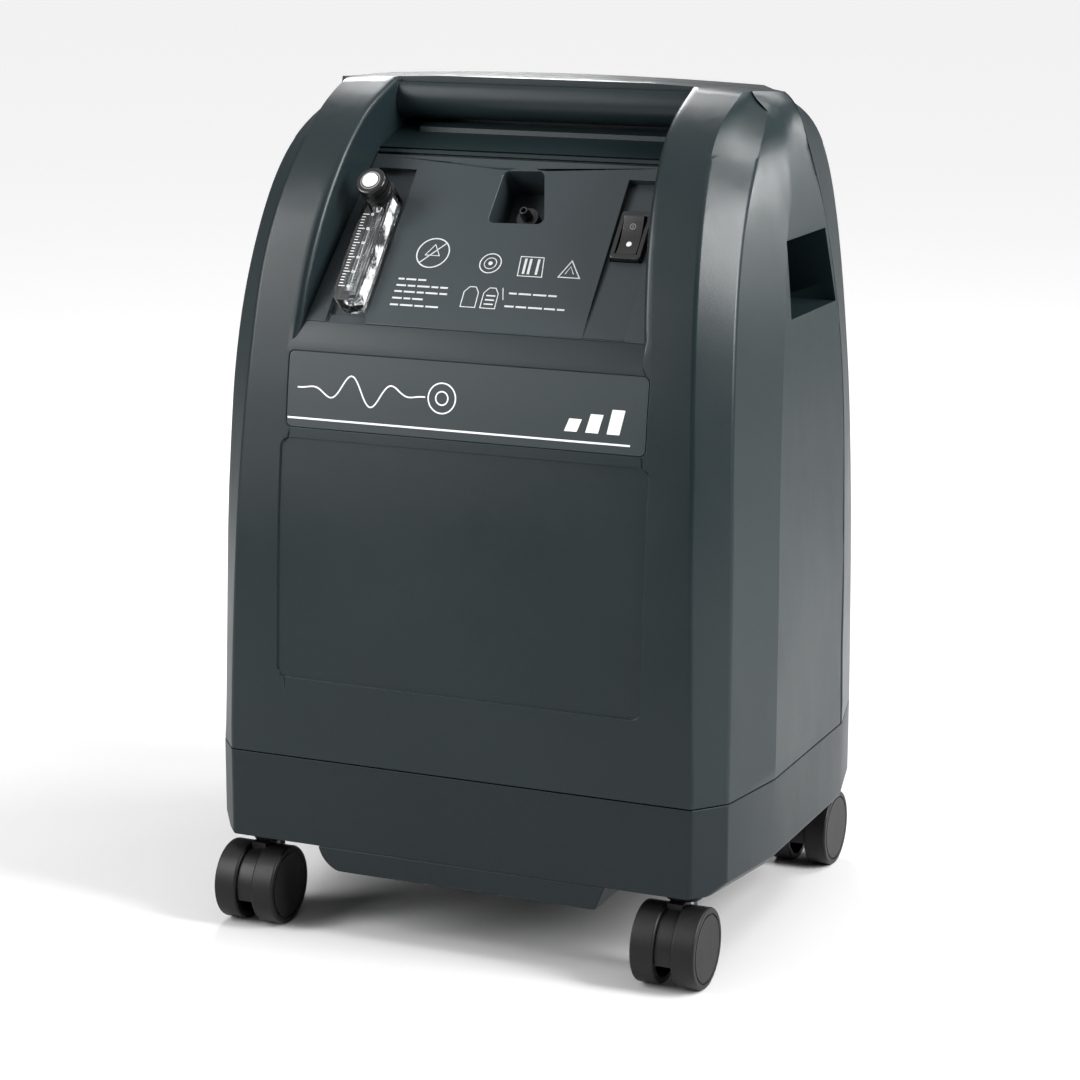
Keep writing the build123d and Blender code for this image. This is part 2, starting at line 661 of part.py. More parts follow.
def build_control_panel():
    middle_v = (CHANNEL_LOW_V + CHANNEL_HIGH_V) / 2
    length = CHANNEL_HIGH_V - CHANNEL_LOW_V
    behind = PANEL_PLANE.offset(-PANEL_T)
    with BuildPart() as below:
        with BuildSketch(behind):
            Rectangle(2 * WIDTH, 2 * HEIGHT)
        extrude(amount=-2 * POCKET_DEPTH)
    with BuildPart() as panel:
        with BuildSketch(PANEL_PLANE):
            Polygon(*panel_outline(0.3), align=None)
        extrude(amount=-PANEL_T)
        with BuildSketch(behind):
            with Locations((-CHANNEL_X, middle_v)):
                Rectangle(CHANNEL_W + 2 * TRAY_WALL, length + 2 * TRAY_WALL)
        extrude(amount=-CHANNEL_DEPTH)
        add(ramp_channel(TRAY_WALL) & below.part)
        with BuildSketch(behind):
            with Locations((SWITCH_X, SWITCH_V)):
                Rectangle(SWITCH_W + 1, SWITCH_H + 1)
        extrude(amount=-CHANNEL_DEPTH)
        with BuildSketch(PANEL_PLANE) as mouth:
            Polygon(*POCKET, align=None)
            fillet(mouth.vertices(), 4)
        with BuildSketch(behind):
            add(mouth.sketch_local)
            offset(amount=2)
        extrude(amount=-POCKET_DEPTH)
        with BuildSketch(PANEL_PLANE):
            add(mouth.sketch_local)
        extrude(amount=-POCKET_DEPTH, mode=Mode.SUBTRACT)
        with BuildSketch(PANEL_PLANE):
            with Locations((-CHANNEL_X, middle_v)):
                Rectangle(CHANNEL_W, length)
        extrude(amount=-CHANNEL_DEPTH, mode=Mode.SUBTRACT)
        with BuildSketch(PANEL_PLANE):
            with Locations((-CHANNEL_X, CHANNEL_LOW_V)):
                Rectangle(CHANNEL_W, 2 * (CHANNEL_LOW_V - PANEL_V0))
        extrude(amount=-FOOT_DEPTH, mode=Mode.SUBTRACT)
        add(ramp_channel(0), mode=Mode.SUBTRACT)
        with BuildSketch(PANEL_PLANE):
            with Locations((SWITCH_X, SWITCH_V)):
                Rectangle(SWITCH_W + 0.4, SWITCH_H + 0.4)
        extrude(amount=-CHANNEL_DEPTH, mode=Mode.SUBTRACT)
        with BuildSketch(PANEL_PLANE):
            with Locations((SWITCH_X, SWITCH_V)):
                Rectangle(SWITCH_W - 4, SWITCH_H - 4)
            with Locations((OUTLET_X, OUTLET_V)):
                Circle(4.1)
        extrude(amount=-40, mode=Mode.SUBTRACT)
    return panel


def on_panel(x, v, height):
    """Plane parallel to the control panel, at height above it, centred on (x, v)."""
    plane = PANEL_PLANE.offset(height)
    return Plane(origin=plane.from_local_coords((x, v, 0)), x_dir=(1, 0, 0), z_dir=plane.z_dir)


def tube_plane(v):
    """Plane across the flow tube, whose normal runs up the panel."""
    face = on_panel(FLOW_X, v, FLOW_BASE + FLOW_T / 2)
    return Plane(origin=face.origin, x_dir=(1, 0, 0), z_dir=face.y_dir)


def build_flowmeter_body():
    with BuildPart() as body:
        with BuildSketch(on_panel(FLOW_X, (FLOW_LOW_V + FLOW_HIGH_V) / 2, FLOW_BASE)):
            RectangleRounded(FLOW_W, FLOW_HIGH_V - FLOW_LOW_V, 5)
        extrude(amount=FLOW_T)
        with BuildSketch(tube_plane(FLOW_LOW_V + 8)):
            Circle(TUBE_R)
        extrude(amount=62, mode=Mode.SUBTRACT)
        with BuildSketch(on_panel(KNOB_X, KNOB_V, FLOW_BASE + 3)):
            Circle(SPINDLE_R + RUN)
        extrude(amount=30, mode=Mode.SUBTRACT)
    return body


def build_flowmeter_float():
    with BuildPart(tube_plane(FLOW_LOW_V + 8 + FLOAT_R + 0.2)) as ball:
        Sphere(FLOAT_R)
    return ball


def build_flowmeter_valve():
    base = FLOW_BASE + FLOW_T + 0.02
    with BuildPart() as valve:
        with BuildSketch(on_panel(KNOB_X, KNOB_V, base)):
            Circle(VALVE_R)
        extrude(amount=VALVE_TOP - 1.5 - base)
        with BuildSketch(on_panel(KNOB_X, KNOB_V, base + 4)):
            Circle(VALVE_R + 1)
        extrude(amount=2)
        with BuildSketch(on_panel(KNOB_X, KNOB_V, base)):
            Circle(SPINDLE_R + RUN)
        extrude(amount=VALVE_TOP, mode=Mode.SUBTRACT)
    return valve


def build_flowmeter_knob():
    """Round knob: a head with a seat for the cap, a waist groove and a wider skirt."""
    base = VALVE_TOP - 1
    with BuildPart() as knob:
        with BuildSketch(on_panel(KNOB_X, KNOB_V, base)):
            Circle(KNOB_R)
        extrude(amount=KNOB_TOP - base)
        fillet(knob.faces().sort_by(SortBy.AREA)[-1].edges(), 1.2)
        with BuildSketch(on_panel(KNOB_X, KNOB_V, KNOB_TOP - KNOB_NECK)):
            Circle(KNOB_R + 1)
            Circle(KNOB_R - 0.9, mode=Mode.SUBTRACT)
        extrude(amount=-1.4, mode=Mode.SUBTRACT)
        with BuildSketch(on_panel(KNOB_X, KNOB_V, KNOB_TOP)):
            Circle(CAP_RING_R)
            Circle(CAP_R + 0.5, mode=Mode.SUBTRACT)
        extrude(amount=-0.6, mode=Mode.SUBTRACT)
        with BuildSketch(on_panel(KNOB_X, KNOB_V, KNOB_TOP)):
            Circle(CAP_R)
        extrude(amount=-1.2, mode=Mode.SUBTRACT)
        with BuildSketch(on_panel(KNOB_X, KNOB_V, base)):
            Circle(SPINDLE_R)
        extrude(amount=1 + NEEDLE_RISE, mode=Mode.SUBTRACT)
    return knob


def build_knob_cap():
    with BuildPart() as cap:
        with BuildSketch(on_panel(KNOB_X, KNOB_V, KNOB_TOP - 1.2)):
            Circle(CAP_R)
        extrude(amount=2.0)
        fillet(cap.faces().sort_by(SortBy.DISTANCE)[-1].edges(), 0.6)
    return cap


def build_needle():
    with BuildPart() as needle:
        with BuildSketch(on_panel(KNOB_X, KNOB_V, FLOW_BASE + 5)):
            Circle(SPINDLE_R)
        extrude(amount=VALVE_TOP + NEEDLE_RISE - FLOW_BASE - 5)
        chamfer(needle.edges().filter_by(GeomType.CIRCLE).sort_by(Axis.Z)[0], 1.5)
    return needle


def build_outlet():
    """Threaded oxygen outlet with a barbed nose, through the pocket floor."""
    floor = -POCKET_DEPTH
    with BuildPart() as outlet:
        for start, radius, length in OUTLET_STEPS:
            with BuildSketch(on_panel(OUTLET_X, OUTLET_V, floor + start)):
                Circle(radius)
            extrude(amount=length)
        for start in (12.5, 15.5):
            with BuildSketch(on_panel(OUTLET_X, OUTLET_V, floor + start)):
                Circle(3.6)
            with BuildSketch(on_panel(OUTLET_X, OUTLET_V, floor + start + 2.4)):
                Circle(2.6)
            loft()
        with BuildSketch(on_panel(OUTLET_X, OUTLET_V, floor - 13)):
            Circle(1.6)
        extrude(amount=40, mode=Mode.SUBTRACT)
    return outlet


def build_switch_bezel():
    with BuildPart() as bezel:
        with BuildSketch(on_panel(SWITCH_X, SWITCH_V, SWITCH_FLOOR + 0.02)):
            RectangleRounded(SWITCH_W, SWITCH_H, 2)
        extrude(amount=5)
        with BuildSketch(on_panel(SWITCH_X, SWITCH_V, SWITCH_FLOOR - 20)):
            Rectangle(SWITCH_W - 4.4, SWITCH_H - 4.4)
        extrude(amount=21)
        with BuildSketch(on_panel(SWITCH_X, SWITCH_V, SWITCH_FLOOR - 9)):
            Rectangle(SWITCH_W - 6, SWITCH_H - 7)
        extrude(amount=20, mode=Mode.SUBTRACT)
    return bezel


def switch_pivot():
    return on_panel(SWITCH_X, SWITCH_V, SWITCH_FLOOR + 1)


def build_switch_rocker():
    """Two-faced rocker on a cross pin, shown pressed at its lower end."""
    pivot = switch_pivot()
    tilt = radians(SWITCH_TILT)
    along = pivot.y_dir * cos(tilt) + pivot.z_dir * sin(tilt)
    side = Plane(origin=pivot.origin, x_dir=along, z_dir=(1, 0, 0))
    half = (SWITCH_H - 8.4) / 2
    with BuildPart() as rocker:
        with BuildSketch(side.offset(-(SWITCH_W - 7) / 2)):
            with BuildLine():
                Polyline((-half, 5.5), (-half + 1.5, -2), (half - 1.5, -2), (half, 5.5))
                ThreePointArc((-half, 5.5), (0, 3.4), (half, 5.5))
            make_face()
        extrude(amount=SWITCH_W - 7)
    return rocker


def build_nameplate():
    half, low, high, radius = NAMEPLATE
    plate = front_patch(half - 0.4, low + 0.4, high - 0.4, radius - 0.4, 0.3, RELIEF - 0.02)
    with BuildPart() as name:
        add(plate)
    return name


# ---------------------------------------------------------------- rear fittings
def build_intake_grille():
    half = FILTER_HALF_X - 0.4
    with BuildPart() as grille:
        with BuildSketch(Plane.XZ.offset(-REAR_Y + 3.5)):
            with Locations((0, (FILTER_LOW_Z + FILTER_HIGH_Z) / 2)):
                RectangleRounded(2 * half, FILTER_HIGH_Z - FILTER_LOW_Z - 0.8, 3.6)
                with GridLocations(0, 9, 1, 8):
                    SlotOverall(2 * half - 18, 5, mode=Mode.SUBTRACT)
        extrude(amount=-3.0)
        with BuildSketch(Plane.XZ.offset(-REAR_Y + 3.5)):
            with Locations((0, (FILTER_LOW_Z + FILTER_HIGH_Z) / 2)):
                Rectangle(3, FILTER_HIGH_Z - FILTER_LOW_Z - 10)
        extrude(amount=-2.0)
    return grille


def build_foam_filter():
    with BuildPart() as foam:
        with BuildSketch(Plane.XZ.offset(-REAR_Y + FILTER_DEPTH - 0.5)):
            with Locations((0, (FILTER_LOW_Z + FILTER_HIGH_Z) / 2)):
                RectangleRounded(2 * FILTER_HALF_X - 4, FILTER_HIGH_Z - FILTER_LOW_Z - 4, 3)
        extrude(amount=-(FILTER_DEPTH - 4.02))
    return foam


def build_hour_meter():
    x, z = METER_PLACE
    with BuildPart() as meter:
        with BuildSketch(Plane.XZ.offset(-REAR_Y - 0.4)):
            with Locations((x, z)):
                RectangleRounded(42, 29, 2)
        extrude(amount=-1.6)
        with BuildSketch(Plane.XZ.offset(-REAR_Y - 0.4)):
            with Locations((x, z)):
                Rectangle(*METER_BODY)
        extrude(amount=22)
        with BuildSketch(Plane.XZ.offset(-REAR_Y - 2.0)):
            with Locations((x, z)):
                Rectangle(26, 9)
        extrude(amount=1.0, mode=Mode.SUBTRACT)
    return meter


def build_breaker():
    x, z = BREAKER_PLACE
    with BuildPart() as breaker:
        with BuildSketch(Plane.XZ.offset(-REAR_Y - 0.3)):
            with Locations((x, z)):
                RegularPolygon(9, 6)
        extrude(amount=-2.2)
        with BuildSketch(Plane.XZ.offset(-REAR_Y - 0.3)):
            with Locations((x, z)):
                Circle(BREAKER_R)
        extrude(amount=24)
        with BuildSketch(Plane.XZ.offset(-REAR_Y - 4)):
            with Locations((x, z)):
                Circle(BUTTON_R + RUN)
        extrude(amount=18, mode=Mode.SUBTRACT)
    return breaker


def build_breaker_button():
    x, z = BREAKER_PLACE
    with BuildPart() as button:
        with BuildSketch(Plane.XZ.offset(-REAR_Y + 8)):
            with Locations((x, z)):
                Circle(BUTTON_R)
        extrude(amount=REAR_Y - 8 - BUTTON_END_Y)
        fillet(button.faces().sort_by(Axis.Y)[-1].edges(), 0.8)
    return button


def build_power_cord():
    """Cord wound as a flat coil with straight runs between half circles."""
    bend = CORD_BEND_X
    with BuildPart() as cord:
        with BuildLine(Plane.XZ.offset(-CORD_Y)) as path:
            radius = CORD_BEND_R
            middle = CORD_MIDDLE_Z
            Line((BOOT_X[1] - 2, middle - radius), (bend, middle - radius))
            for turn in range(2):
                ThreePointArc((bend, middle - radius), (bend + radius, middle), (bend, middle + radius))
                top = middle + radius
                Line((bend, top), (-bend, top))
                low = middle - radius + CORD_PITCH if turn == 0 else middle
                half = (top - low) / 2
                ThreePointArc((-bend, top), (-bend - half, top - half), (-bend, low))
                Line((-bend, low), (bend if turn == 0 else PLUG_X[0] + 2, low))
                radius -= CORD_PITCH
        with BuildSketch(Plane(origin=path.line @ 0, z_dir=path.line % 0)):
            Circle(CORD_R)
        sweep()
        with BuildSketch(Plane.YZ.offset(BOOT_X[0])):
            with Locations((CORD_Y, CORD_MIDDLE_Z - CORD_BEND_R)):
                Circle(BOOT_R)
        extrude(amount=BOOT_X[1] - BOOT_X[0])
        with BuildSketch(Plane.XZ.offset(-REAR_Y + CORD_DEPTH + 8)):
            with Locations((STRAIN_X, CORD_MIDDLE_Z - CORD_BEND_R)):
                Circle(STRAIN_R)
        extrude(amount=-14)
        low, high = PLUG_X
        with BuildSketch(Plane.XZ.offset(-CORD_Y - 9)):
            with Locations(((low + high) / 2 - 8, CORD_MIDDLE_Z)):
                RectangleRounded(high - low - 16, 24, 6)
        extrude(amount=13.5)
        with BuildSketch(Plane.YZ.offset(high - 17)):
            with Locations((CORD_Y + 2, CORD_MIDDLE_Z)):
                with GridLocations(0, 12.7, 1, 2):
                    Rectangle(6.4, 1.5)
        extrude(amount=17)
    return cord


def build_cord_strap():
    """Flat band round the two upper runs of the coil."""
    top = CORD_MIDDLE_Z + CORD_BEND_R
    with BuildPart() as strap:
        with BuildSketch(Plane.YZ.offset(13)):
            with Locations((CORD_Y, top - CORD_PITCH / 2)):
                RectangleRounded(2 * CORD_R + 1.8, 2 * CORD_R + CORD_PITCH + 0.5 - 0.2 + 0.7, 1.5)
                RectangleRounded(2 * CORD_R + 0.2, 2 * CORD_R + CORD_PITCH + 0.2, 1.0, mode=Mode.SUBTRACT)
        extrude(amount=14)
    return strap


# ---------------------------------------------------------------- inside the cabinet
def upright_cylinder(x, y, low, high, radius, lip=0.0):
    """Standing can with a rolled lip at each end."""
    with BuildPart() as can:
        with BuildSketch(Plane.XY.offset(low)):
            with Locations((x, y)):
                Circle(radius)
        extrude(amount=high - low)
        if lip:
            for z in (low + 6, high - 10):
                with BuildSketch(Plane.XY.offset(z)):
                    with Locations((x, y)):
                        Circle(radius + lip)
                extrude(amount=4)
        fillet(can.faces().sort_by(Axis.Z)[-1].edges(), 3)
    return can


def build_bulkhead():
    with BuildPart() as bulkhead:
        with BuildSketch(Plane.XZ.offset(-BULKHEAD_Y - BULKHEAD_T)):
            with Locations((0, (FLOOR_Z + BULKHEAD_TOP) / 2)):
                Rectangle(BULKHEAD_W, BULKHEAD_TOP - FLOOR_Z - 0.1)
            with Locations((0, FAN_Z)):
                Circle(FAN_BORE, mode=Mode.SUBTRACT)
        extrude(amount=BULKHEAD_T)
        with BuildSketch(Plane.XY.offset(FLOOR_Z + 0.05)):
            with Locations((0, BULKHEAD_Y - 6)):
                Rectangle(BULKHEAD_W, 12)
        extrude(amount=BULKHEAD_T)
    return bulkhead


def build_fan_housing():
    with BuildPart() as housing:
        with BuildSketch(Plane.XZ.offset(-BULKHEAD_Y + 0.05)):
            with Locations((0, FAN_Z)):
                RectangleRounded(2 * FAN_HALF, 2 * FAN_HALF, 8)
                Circle(FAN_BORE, mode=Mode.SUBTRACT)
        extrude(amount=FAN_DEPTH)
        with BuildSketch(Plane.XZ.offset(-BULKHEAD_Y + 0.05)):
            with Locations((0, FAN_Z)):
                Circle(18)
                Rectangle(118, 6)
        extrude(amount=3)
        with BuildSketch(Plane.XZ.offset(-BULKHEAD_Y + 0.05)):
            with Locations((0, FAN_Z)):
                Circle(2 + RUN)
        extrude(amount=3, mode=Mode.SUBTRACT)
    return housing


def build_fan_rotor():
    with BuildPart() as rotor:
        with BuildSketch(Plane.XZ.offset(-BULKHEAD_Y + 0.3)):
            with Locations((0, FAN_Z)):
                Circle(2)
        extrude(amount=12)
        with BuildSketch(Plane.XZ.offset(-BULKHEAD_Y + 4.5)):
            with Locations((0, FAN_Z)):
                Circle(FAN_HUB)
        extrude(amount=18)
        for blade in range(BLADES):
            angle = 2 * pi * blade / BLADES
            radial = Vector(sin(angle), 0, cos(angle))
            root = Vector(0, BULKHEAD_Y - 13, FAN_Z) + radial * (FAN_HUB - 2)
            with BuildSketch(Plane(origin=root, x_dir=(cos(angle), 0, -sin(angle)), z_dir=radial)):
                Rectangle(15, 2, rotation=35)
            extrude(amount=BLADE_LENGTH)
    return rotor


def build_compressor():
    with BuildPart() as case:
        with BuildSketch(Plane.YZ.offset(-MOTOR_LENGTH / 2)):
            with Locations((MOTOR_Y, MOTOR_Z)):
                Circle(MOTOR_R)
            with Locations((MOTOR_Y, MOTOR_Z + 25)):
                Rectangle(64, 50)
            with Locations((MOTOR_Y, MOTOR_Z - 46)):
                Rectangle(84, 12)
        extrude(amount=MOTOR_LENGTH)
        with BuildSketch(Plane.YZ.offset(-MOTOR_LENGTH / 2 + 5)):
            with Locations((MOTOR_Y, MOTOR_Z)):
                Circle(MOTOR_R - 5)
        extrude(amount=MOTOR_LENGTH - 10, mode=Mode.SUBTRACT)
        with BuildSketch(Plane.YZ.offset(-MOTOR_LENGTH / 2 - 1)):
            with Locations((MOTOR_Y, MOTOR_Z)):
                Circle(SHAFT_R + RUN)
        extrude(amount=MOTOR_LENGTH + 2, mode=Mode.SUBTRACT)
        with BuildSketch(Plane.XY.offset(MOTOR_Z)):
            with Locations((-CYLINDER_X, MOTOR_Y), (CYLINDER_X, MOTOR_Y)):
                Circle(CYLINDER_R)
        extrude(amount=60, mode=Mode.SUBTRACT)
    return case


def build_compressor_rotor():
    with BuildPart() as rotor:
        with BuildSketch(Plane.YZ.offset(-MOTOR_LENGTH / 2 - 5)):
            with Locations((MOTOR_Y, MOTOR_Z)):
                Circle(SHAFT_R)
        extrude(amount=MOTOR_LENGTH + 10)
        with BuildSketch(Plane.YZ.offset(-15)):
            with Locations((MOTOR_Y, MOTOR_Z)):
                Circle(32)
        extrude(amount=30)
        for x in (-50, 30):
            with BuildSketch(Plane.YZ.offset(x)):
                with Locations((MOTOR_Y, MOTOR_Z)):
                    Circle(14)
            extrude(amount=20)
    return rotor


def build_compressor_heads():
    with BuildPart() as heads:
        base = MOTOR_Z + 50.05
        for x in (-CYLINDER_X, CYLINDER_X):
            with BuildSketch(Plane.XY.offset(base)):
                with Locations((x, MOTOR_Y)):
                    RectangleRounded(50, 54, 5)
            extrude(amount=8)
            for fin in range(4):
                with BuildSketch(Plane.XY.offset(base + 8)):
                    with Locations((x - 18 + 12 * fin, MOTOR_Y)):
                        Rectangle(3, 50)
                extrude(amount=14)
    return heads


def build_compressor_pistons():
    with BuildPart() as pistons:
        for x in (-CYLINDER_X, CYLINDER_X):
            with BuildSketch(Plane.XY.offset(MOTOR_Z + 34)):
                with Locations((x, MOTOR_Y)):
                    Circle(CYLINDER_R - 0.02)
            extrude(amount=8)
    return pistons


def build_vibration_mounts():
    with BuildPart() as mounts:
        for x, y in MOUNTS:
            with BuildSketch(Plane.XY.offset(FLOOR_Z + 0.02)):
                with Locations((x, y)):
                    Circle(9)
            with BuildSketch(Plane.XY.offset(FLOOR_Z + 8)):
                with Locations((x, y)):
                    Circle(6)
            loft()
            with BuildSketch(Plane.XY.offset(FLOOR_Z + 8)):
                with Locations((x, y)):
                    Circle(6)
            with BuildSketch(Plane.XY.offset(MOTOR_Z - 52.05)):
                with Locations((x, y)):
                    Circle(9)
            loft()
    return mounts


def build_heat_exchanger():
    with BuildPart() as coil:
        with BuildLine(Plane.XZ.offset(-COIL_Y)) as path:
            z = FAN_Z - COIL_ROWS * COIL_PITCH / 2
            side = 1
            Line((-COIL_HALF, z), (COIL_HALF, z))
            for row in range(COIL_ROWS):
                end = side * COIL_HALF
                bend = side * (COIL_HALF + COIL_PITCH / 2)
                ThreePointArc((end, z), (bend, z + COIL_PITCH / 2), (end, z + COIL_PITCH))
                z += COIL_PITCH
                Line((end, z), (-end, z))
                side = -side
        with BuildSketch(Plane(origin=path.line @ 0, z_dir=path.line % 0)):
            Circle(4)
        sweep()
    return coil


def build_valve_manifold():
    with BuildPart() as manifold:
        with BuildSketch(Plane.XY.offset(MANIFOLD_Z)):
            with Locations((0, MANIFOLD_Y)):
                RectangleRounded(90, 40, 3)
        extrude(amount=MANIFOLD_T)
        with BuildSketch(Plane.XY.offset(MANIFOLD_Z + 5)):
            with Locations((0, MANIFOLD_Y - 21.9)):
                Rectangle(70, 4)
        extrude(amount=20)
        with BuildSketch(Plane.XY.offset(MANIFOLD_Z + MANIFOLD_T)):
            with Locations((0, MANIFOLD_Y)):
                with GridLocations(30, 0, 3, 1):
                    Circle(11)
        extrude(amount=34)
        fillet(manifold.faces().group_by(Axis.Z)[-1].edges(), 2)
    return manifold


def build_feed_hoses():
    """Hoses from the top of each sieve bed to the ends of the valve manifold."""
    with BuildPart() as hoses:
        for side in (-1, 1):
            with BuildLine() as path:
                start = (side * BED_X, BED_Y, BED_TOP + 0.05)
                end = (side * 45.1, MANIFOLD_Y, MANIFOLD_Z + MANIFOLD_T / 2)
                Spline(start, end, tangents=((0, 0, 1), (-side, 0, 0)), tangent_scalars=(1.4, 1.4))
            with BuildSketch(Plane(origin=path.line @ 0, z_dir=path.line % 0)):
                Circle(HOSE_R)
            sweep()
    return hoses


def build_circuit_board():
    with BuildPart() as board:
        with BuildSketch(Plane.XZ.offset(-BOARD_Y)):
            with Locations((0, BOARD_Z)):
                Rectangle(150, 66)
        extrude(amount=BOARD_T)
        with BuildSketch(Plane.XZ.offset(-BOARD_Y + BOARD_T)):
            with Locations((-45, 402), (10, 388)):
                Rectangle(30, 24)
            with Locations((50, 400)):
                Circle(10)
        extrude(amount=9)
        with BuildSketch(Plane.XZ.offset(-BOARD_Y)):
            with Locations((0, BOARD_Z)):
                with GridLocations(140, 56, 2, 2):
                    Circle(3)
        extrude(amount=-(BULKHEAD_Y - BOARD_Y - 0.05))
    return board


def build_regulator():
    with BuildPart() as regulator:
        with BuildSketch(Plane.XZ.offset(-BULKHEAD_Y + 0.05)):
            with Locations(REGULATOR_PLACE):
                RectangleRounded(32, 40, 3)
        extrude(amount=28)
        with BuildSketch(Plane.XZ.offset(-BULKHEAD_Y + 28)):
            with Locations(REGULATOR_PLACE):
                Circle(11)
        extrude(amount=12)
    return regulator


def build_outlet_filter():
    with BuildPart() as disc:
        with BuildSketch(Plane.XZ.offset(-BULKHEAD_Y + 0.05)):
            with Locations(OUTLET_FILTER_PLACE):
                Circle(22)
        extrude(amount=14)
        with BuildSketch(Plane.XZ.offset(-BULKHEAD_Y + 14)):
            with Locations(OUTLET_FILTER_PLACE):
                Circle(4)
        extrude(amount=14)
    return disc


def build_product_tube():
    """Tube from the pressure regulator up to the back of the flowmeter."""
    inlet = on_panel(FLOW_X, FLOW_LOW_V + 30, -CHANNEL_DEPTH - PANEL_T - 6).origin
    with BuildPart() as tube:
        with BuildLine() as path:
            start = (REGULATOR_PLACE[0], BULKHEAD_Y - 14, REGULATOR_PLACE[1] + 20.1)
            Spline(start, tuple(inlet), tangents=((0, 0, 1), PANEL_PLANE.z_dir))
        with BuildSketch(Plane(origin=path.line @ 0, z_dir=path.line % 0)):
            Circle(3.5)
        sweep()
    return tube


def build_sound_foam():
    with BuildPart() as foam:
        with BuildSketch(Plane.XZ.offset(120)):
            with Locations((0, 215)):
                Rectangle(200, 160)
        extrude(amount=40)
        add(cabinet_form(WALL + 0.6), mode=Mode.INTERSECT)
    return foam


def build_screws():
    """Pan-head screws of the cabinet and of the belly pan."""
    heads = []
    for place in screw_places_rear():
        heads.append(Plane(origin=place.position + Vector(0, 0.1, 0), z_dir=(0, 1, 0)))
    for x, y in PAN_SCREWS:
        heads.append(Plane(origin=(x, y, PAN_Z + 2.95), z_dir=(0, 0, -1)))
    with BuildPart() as screws:
        for head in heads:
            length = 17 if abs(head.z_dir.Z) > 0.5 else 9
            with BuildSketch(head):
                Circle(4)
            extrude(amount=1.8)
            with BuildSketch(head):
                Circle(SCREW_R - 0.02)
            extrude(amount=-length)
            with BuildSketch(head.offset(1.8)):
                Rectangle(4.4, 1)
                Rectangle(1, 4.4)
            extrude(amount=-1, mode=Mode.SUBTRACT)
    return screws


def build_sieve_beds():
    with BuildPart() as beds:
        for side in (-1, 1):
            add(upright_cylinder(side * BED_X, BED_Y, FLOOR_Z + 0.05, BED_TOP, BED_R, BED_LIP).part)
    return beds


# ---------------------------------------------------------------- write every piece
finish(build_front_cabinet(), "front_cabinet")
finish(build_rear_cabinet(), "rear_cabinet")
finish(build_base(), "base_tub")
finish(build_belly_pan(), "belly_pan")
for corner, place in caster_places().items():
    finish(build_caster_hood(place), f"caster_hood_{corner}")
    finish(build_caster_pins(place), f"caster_pins_{corner}")
    finish(build_wheel(place, -1), f"wheel_{corner}_a")
    finish(build_wheel(place, 1), f"wheel_{corner}_b")
finish(build_control_panel(), "control_panel")
finish(build_nameplate(), "nameplate")
finish(build_flowmeter_body(), "flowmeter_body")
finish(build_flowmeter_float(), "flowmeter_float")
finish(build_flowmeter_valve(), "flowmeter_valve")
finish(build_flowmeter_knob(), "flowmeter_knob")
finish(build_knob_cap(), "knob_cap")
finish(build_needle(), "flowmeter_needle")
finish(build_outlet(), "oxygen_outlet")
finish(build_switch_bezel(), "switch_bezel")
finish(build_switch_rocker(), "switch_rocker")
finish(build_intake_grille(), "intake_grille")
finish(build_foam_filter(), "foam_filter")
finish(build_hour_meter(), "hour_meter")
finish(build_breaker(), "circuit_breaker")
finish(build_breaker_button(), "breaker_button")
finish(build_power_cord(), "power_cord")
finish(build_cord_strap(), "cord_strap")
finish(build_bulkhead(), "bulkhead")
finish(build_fan_housing(), "fan_housing")
finish(build_fan_rotor(), "fan_rotor")
finish(build_compressor(), "compressor_case")
finish(build_compressor_rotor(), "compressor_rotor")
finish(build_compressor_heads(), "compressor_heads")
finish(build_compressor_pistons(), "compressor_pistons")
finish(build_vibration_mounts(), "vibration_mounts")
finish(build_heat_exchanger(), "heat_exchanger")
finish(build_valve_manifold(), "valve_manifold")
finish(build_feed_hoses(), "feed_hoses")
finish(build_circuit_board(), "circuit_board")
finish(build_regulator(), "pressure_regulator")
finish(build_outlet_filter(), "outlet_filter")
finish(build_product_tube(), "product_tube")
finish(build_sound_foam(), "sound_foam")
finish(build_sieve_beds(), "sieve_beds")
for can_name, (can_x, can_y, can_top, can_r, can_lip) in CANS.items():
    finish(upright_cylinder(can_x, can_y, FLOOR_Z + 0.05, can_top, can_r, can_lip), can_name)
finish(build_screws(), "cabinet_screws")
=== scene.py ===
"""Looks of the stationary oxygen concentrator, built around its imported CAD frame."""
import json
import math

import bmesh
import bpy
from mathutils import Matrix, Vector
from mathutils.bvhtree import BVHTree


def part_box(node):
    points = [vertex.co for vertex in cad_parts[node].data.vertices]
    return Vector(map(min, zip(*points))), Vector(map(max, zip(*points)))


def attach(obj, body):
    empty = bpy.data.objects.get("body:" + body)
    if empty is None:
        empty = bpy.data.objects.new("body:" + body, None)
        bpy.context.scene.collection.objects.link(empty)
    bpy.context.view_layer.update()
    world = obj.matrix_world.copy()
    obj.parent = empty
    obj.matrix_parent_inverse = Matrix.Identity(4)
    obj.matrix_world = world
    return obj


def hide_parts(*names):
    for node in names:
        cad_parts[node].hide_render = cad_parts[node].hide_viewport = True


MM = 0.001
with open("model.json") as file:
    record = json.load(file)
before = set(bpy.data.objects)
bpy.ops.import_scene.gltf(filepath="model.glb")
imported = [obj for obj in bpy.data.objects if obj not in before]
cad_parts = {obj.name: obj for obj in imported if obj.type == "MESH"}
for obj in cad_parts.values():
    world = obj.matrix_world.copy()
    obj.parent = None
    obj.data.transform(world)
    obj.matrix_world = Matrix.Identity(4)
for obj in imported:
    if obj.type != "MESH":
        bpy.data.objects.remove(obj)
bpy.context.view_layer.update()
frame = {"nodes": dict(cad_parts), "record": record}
nodes = frame["nodes"]

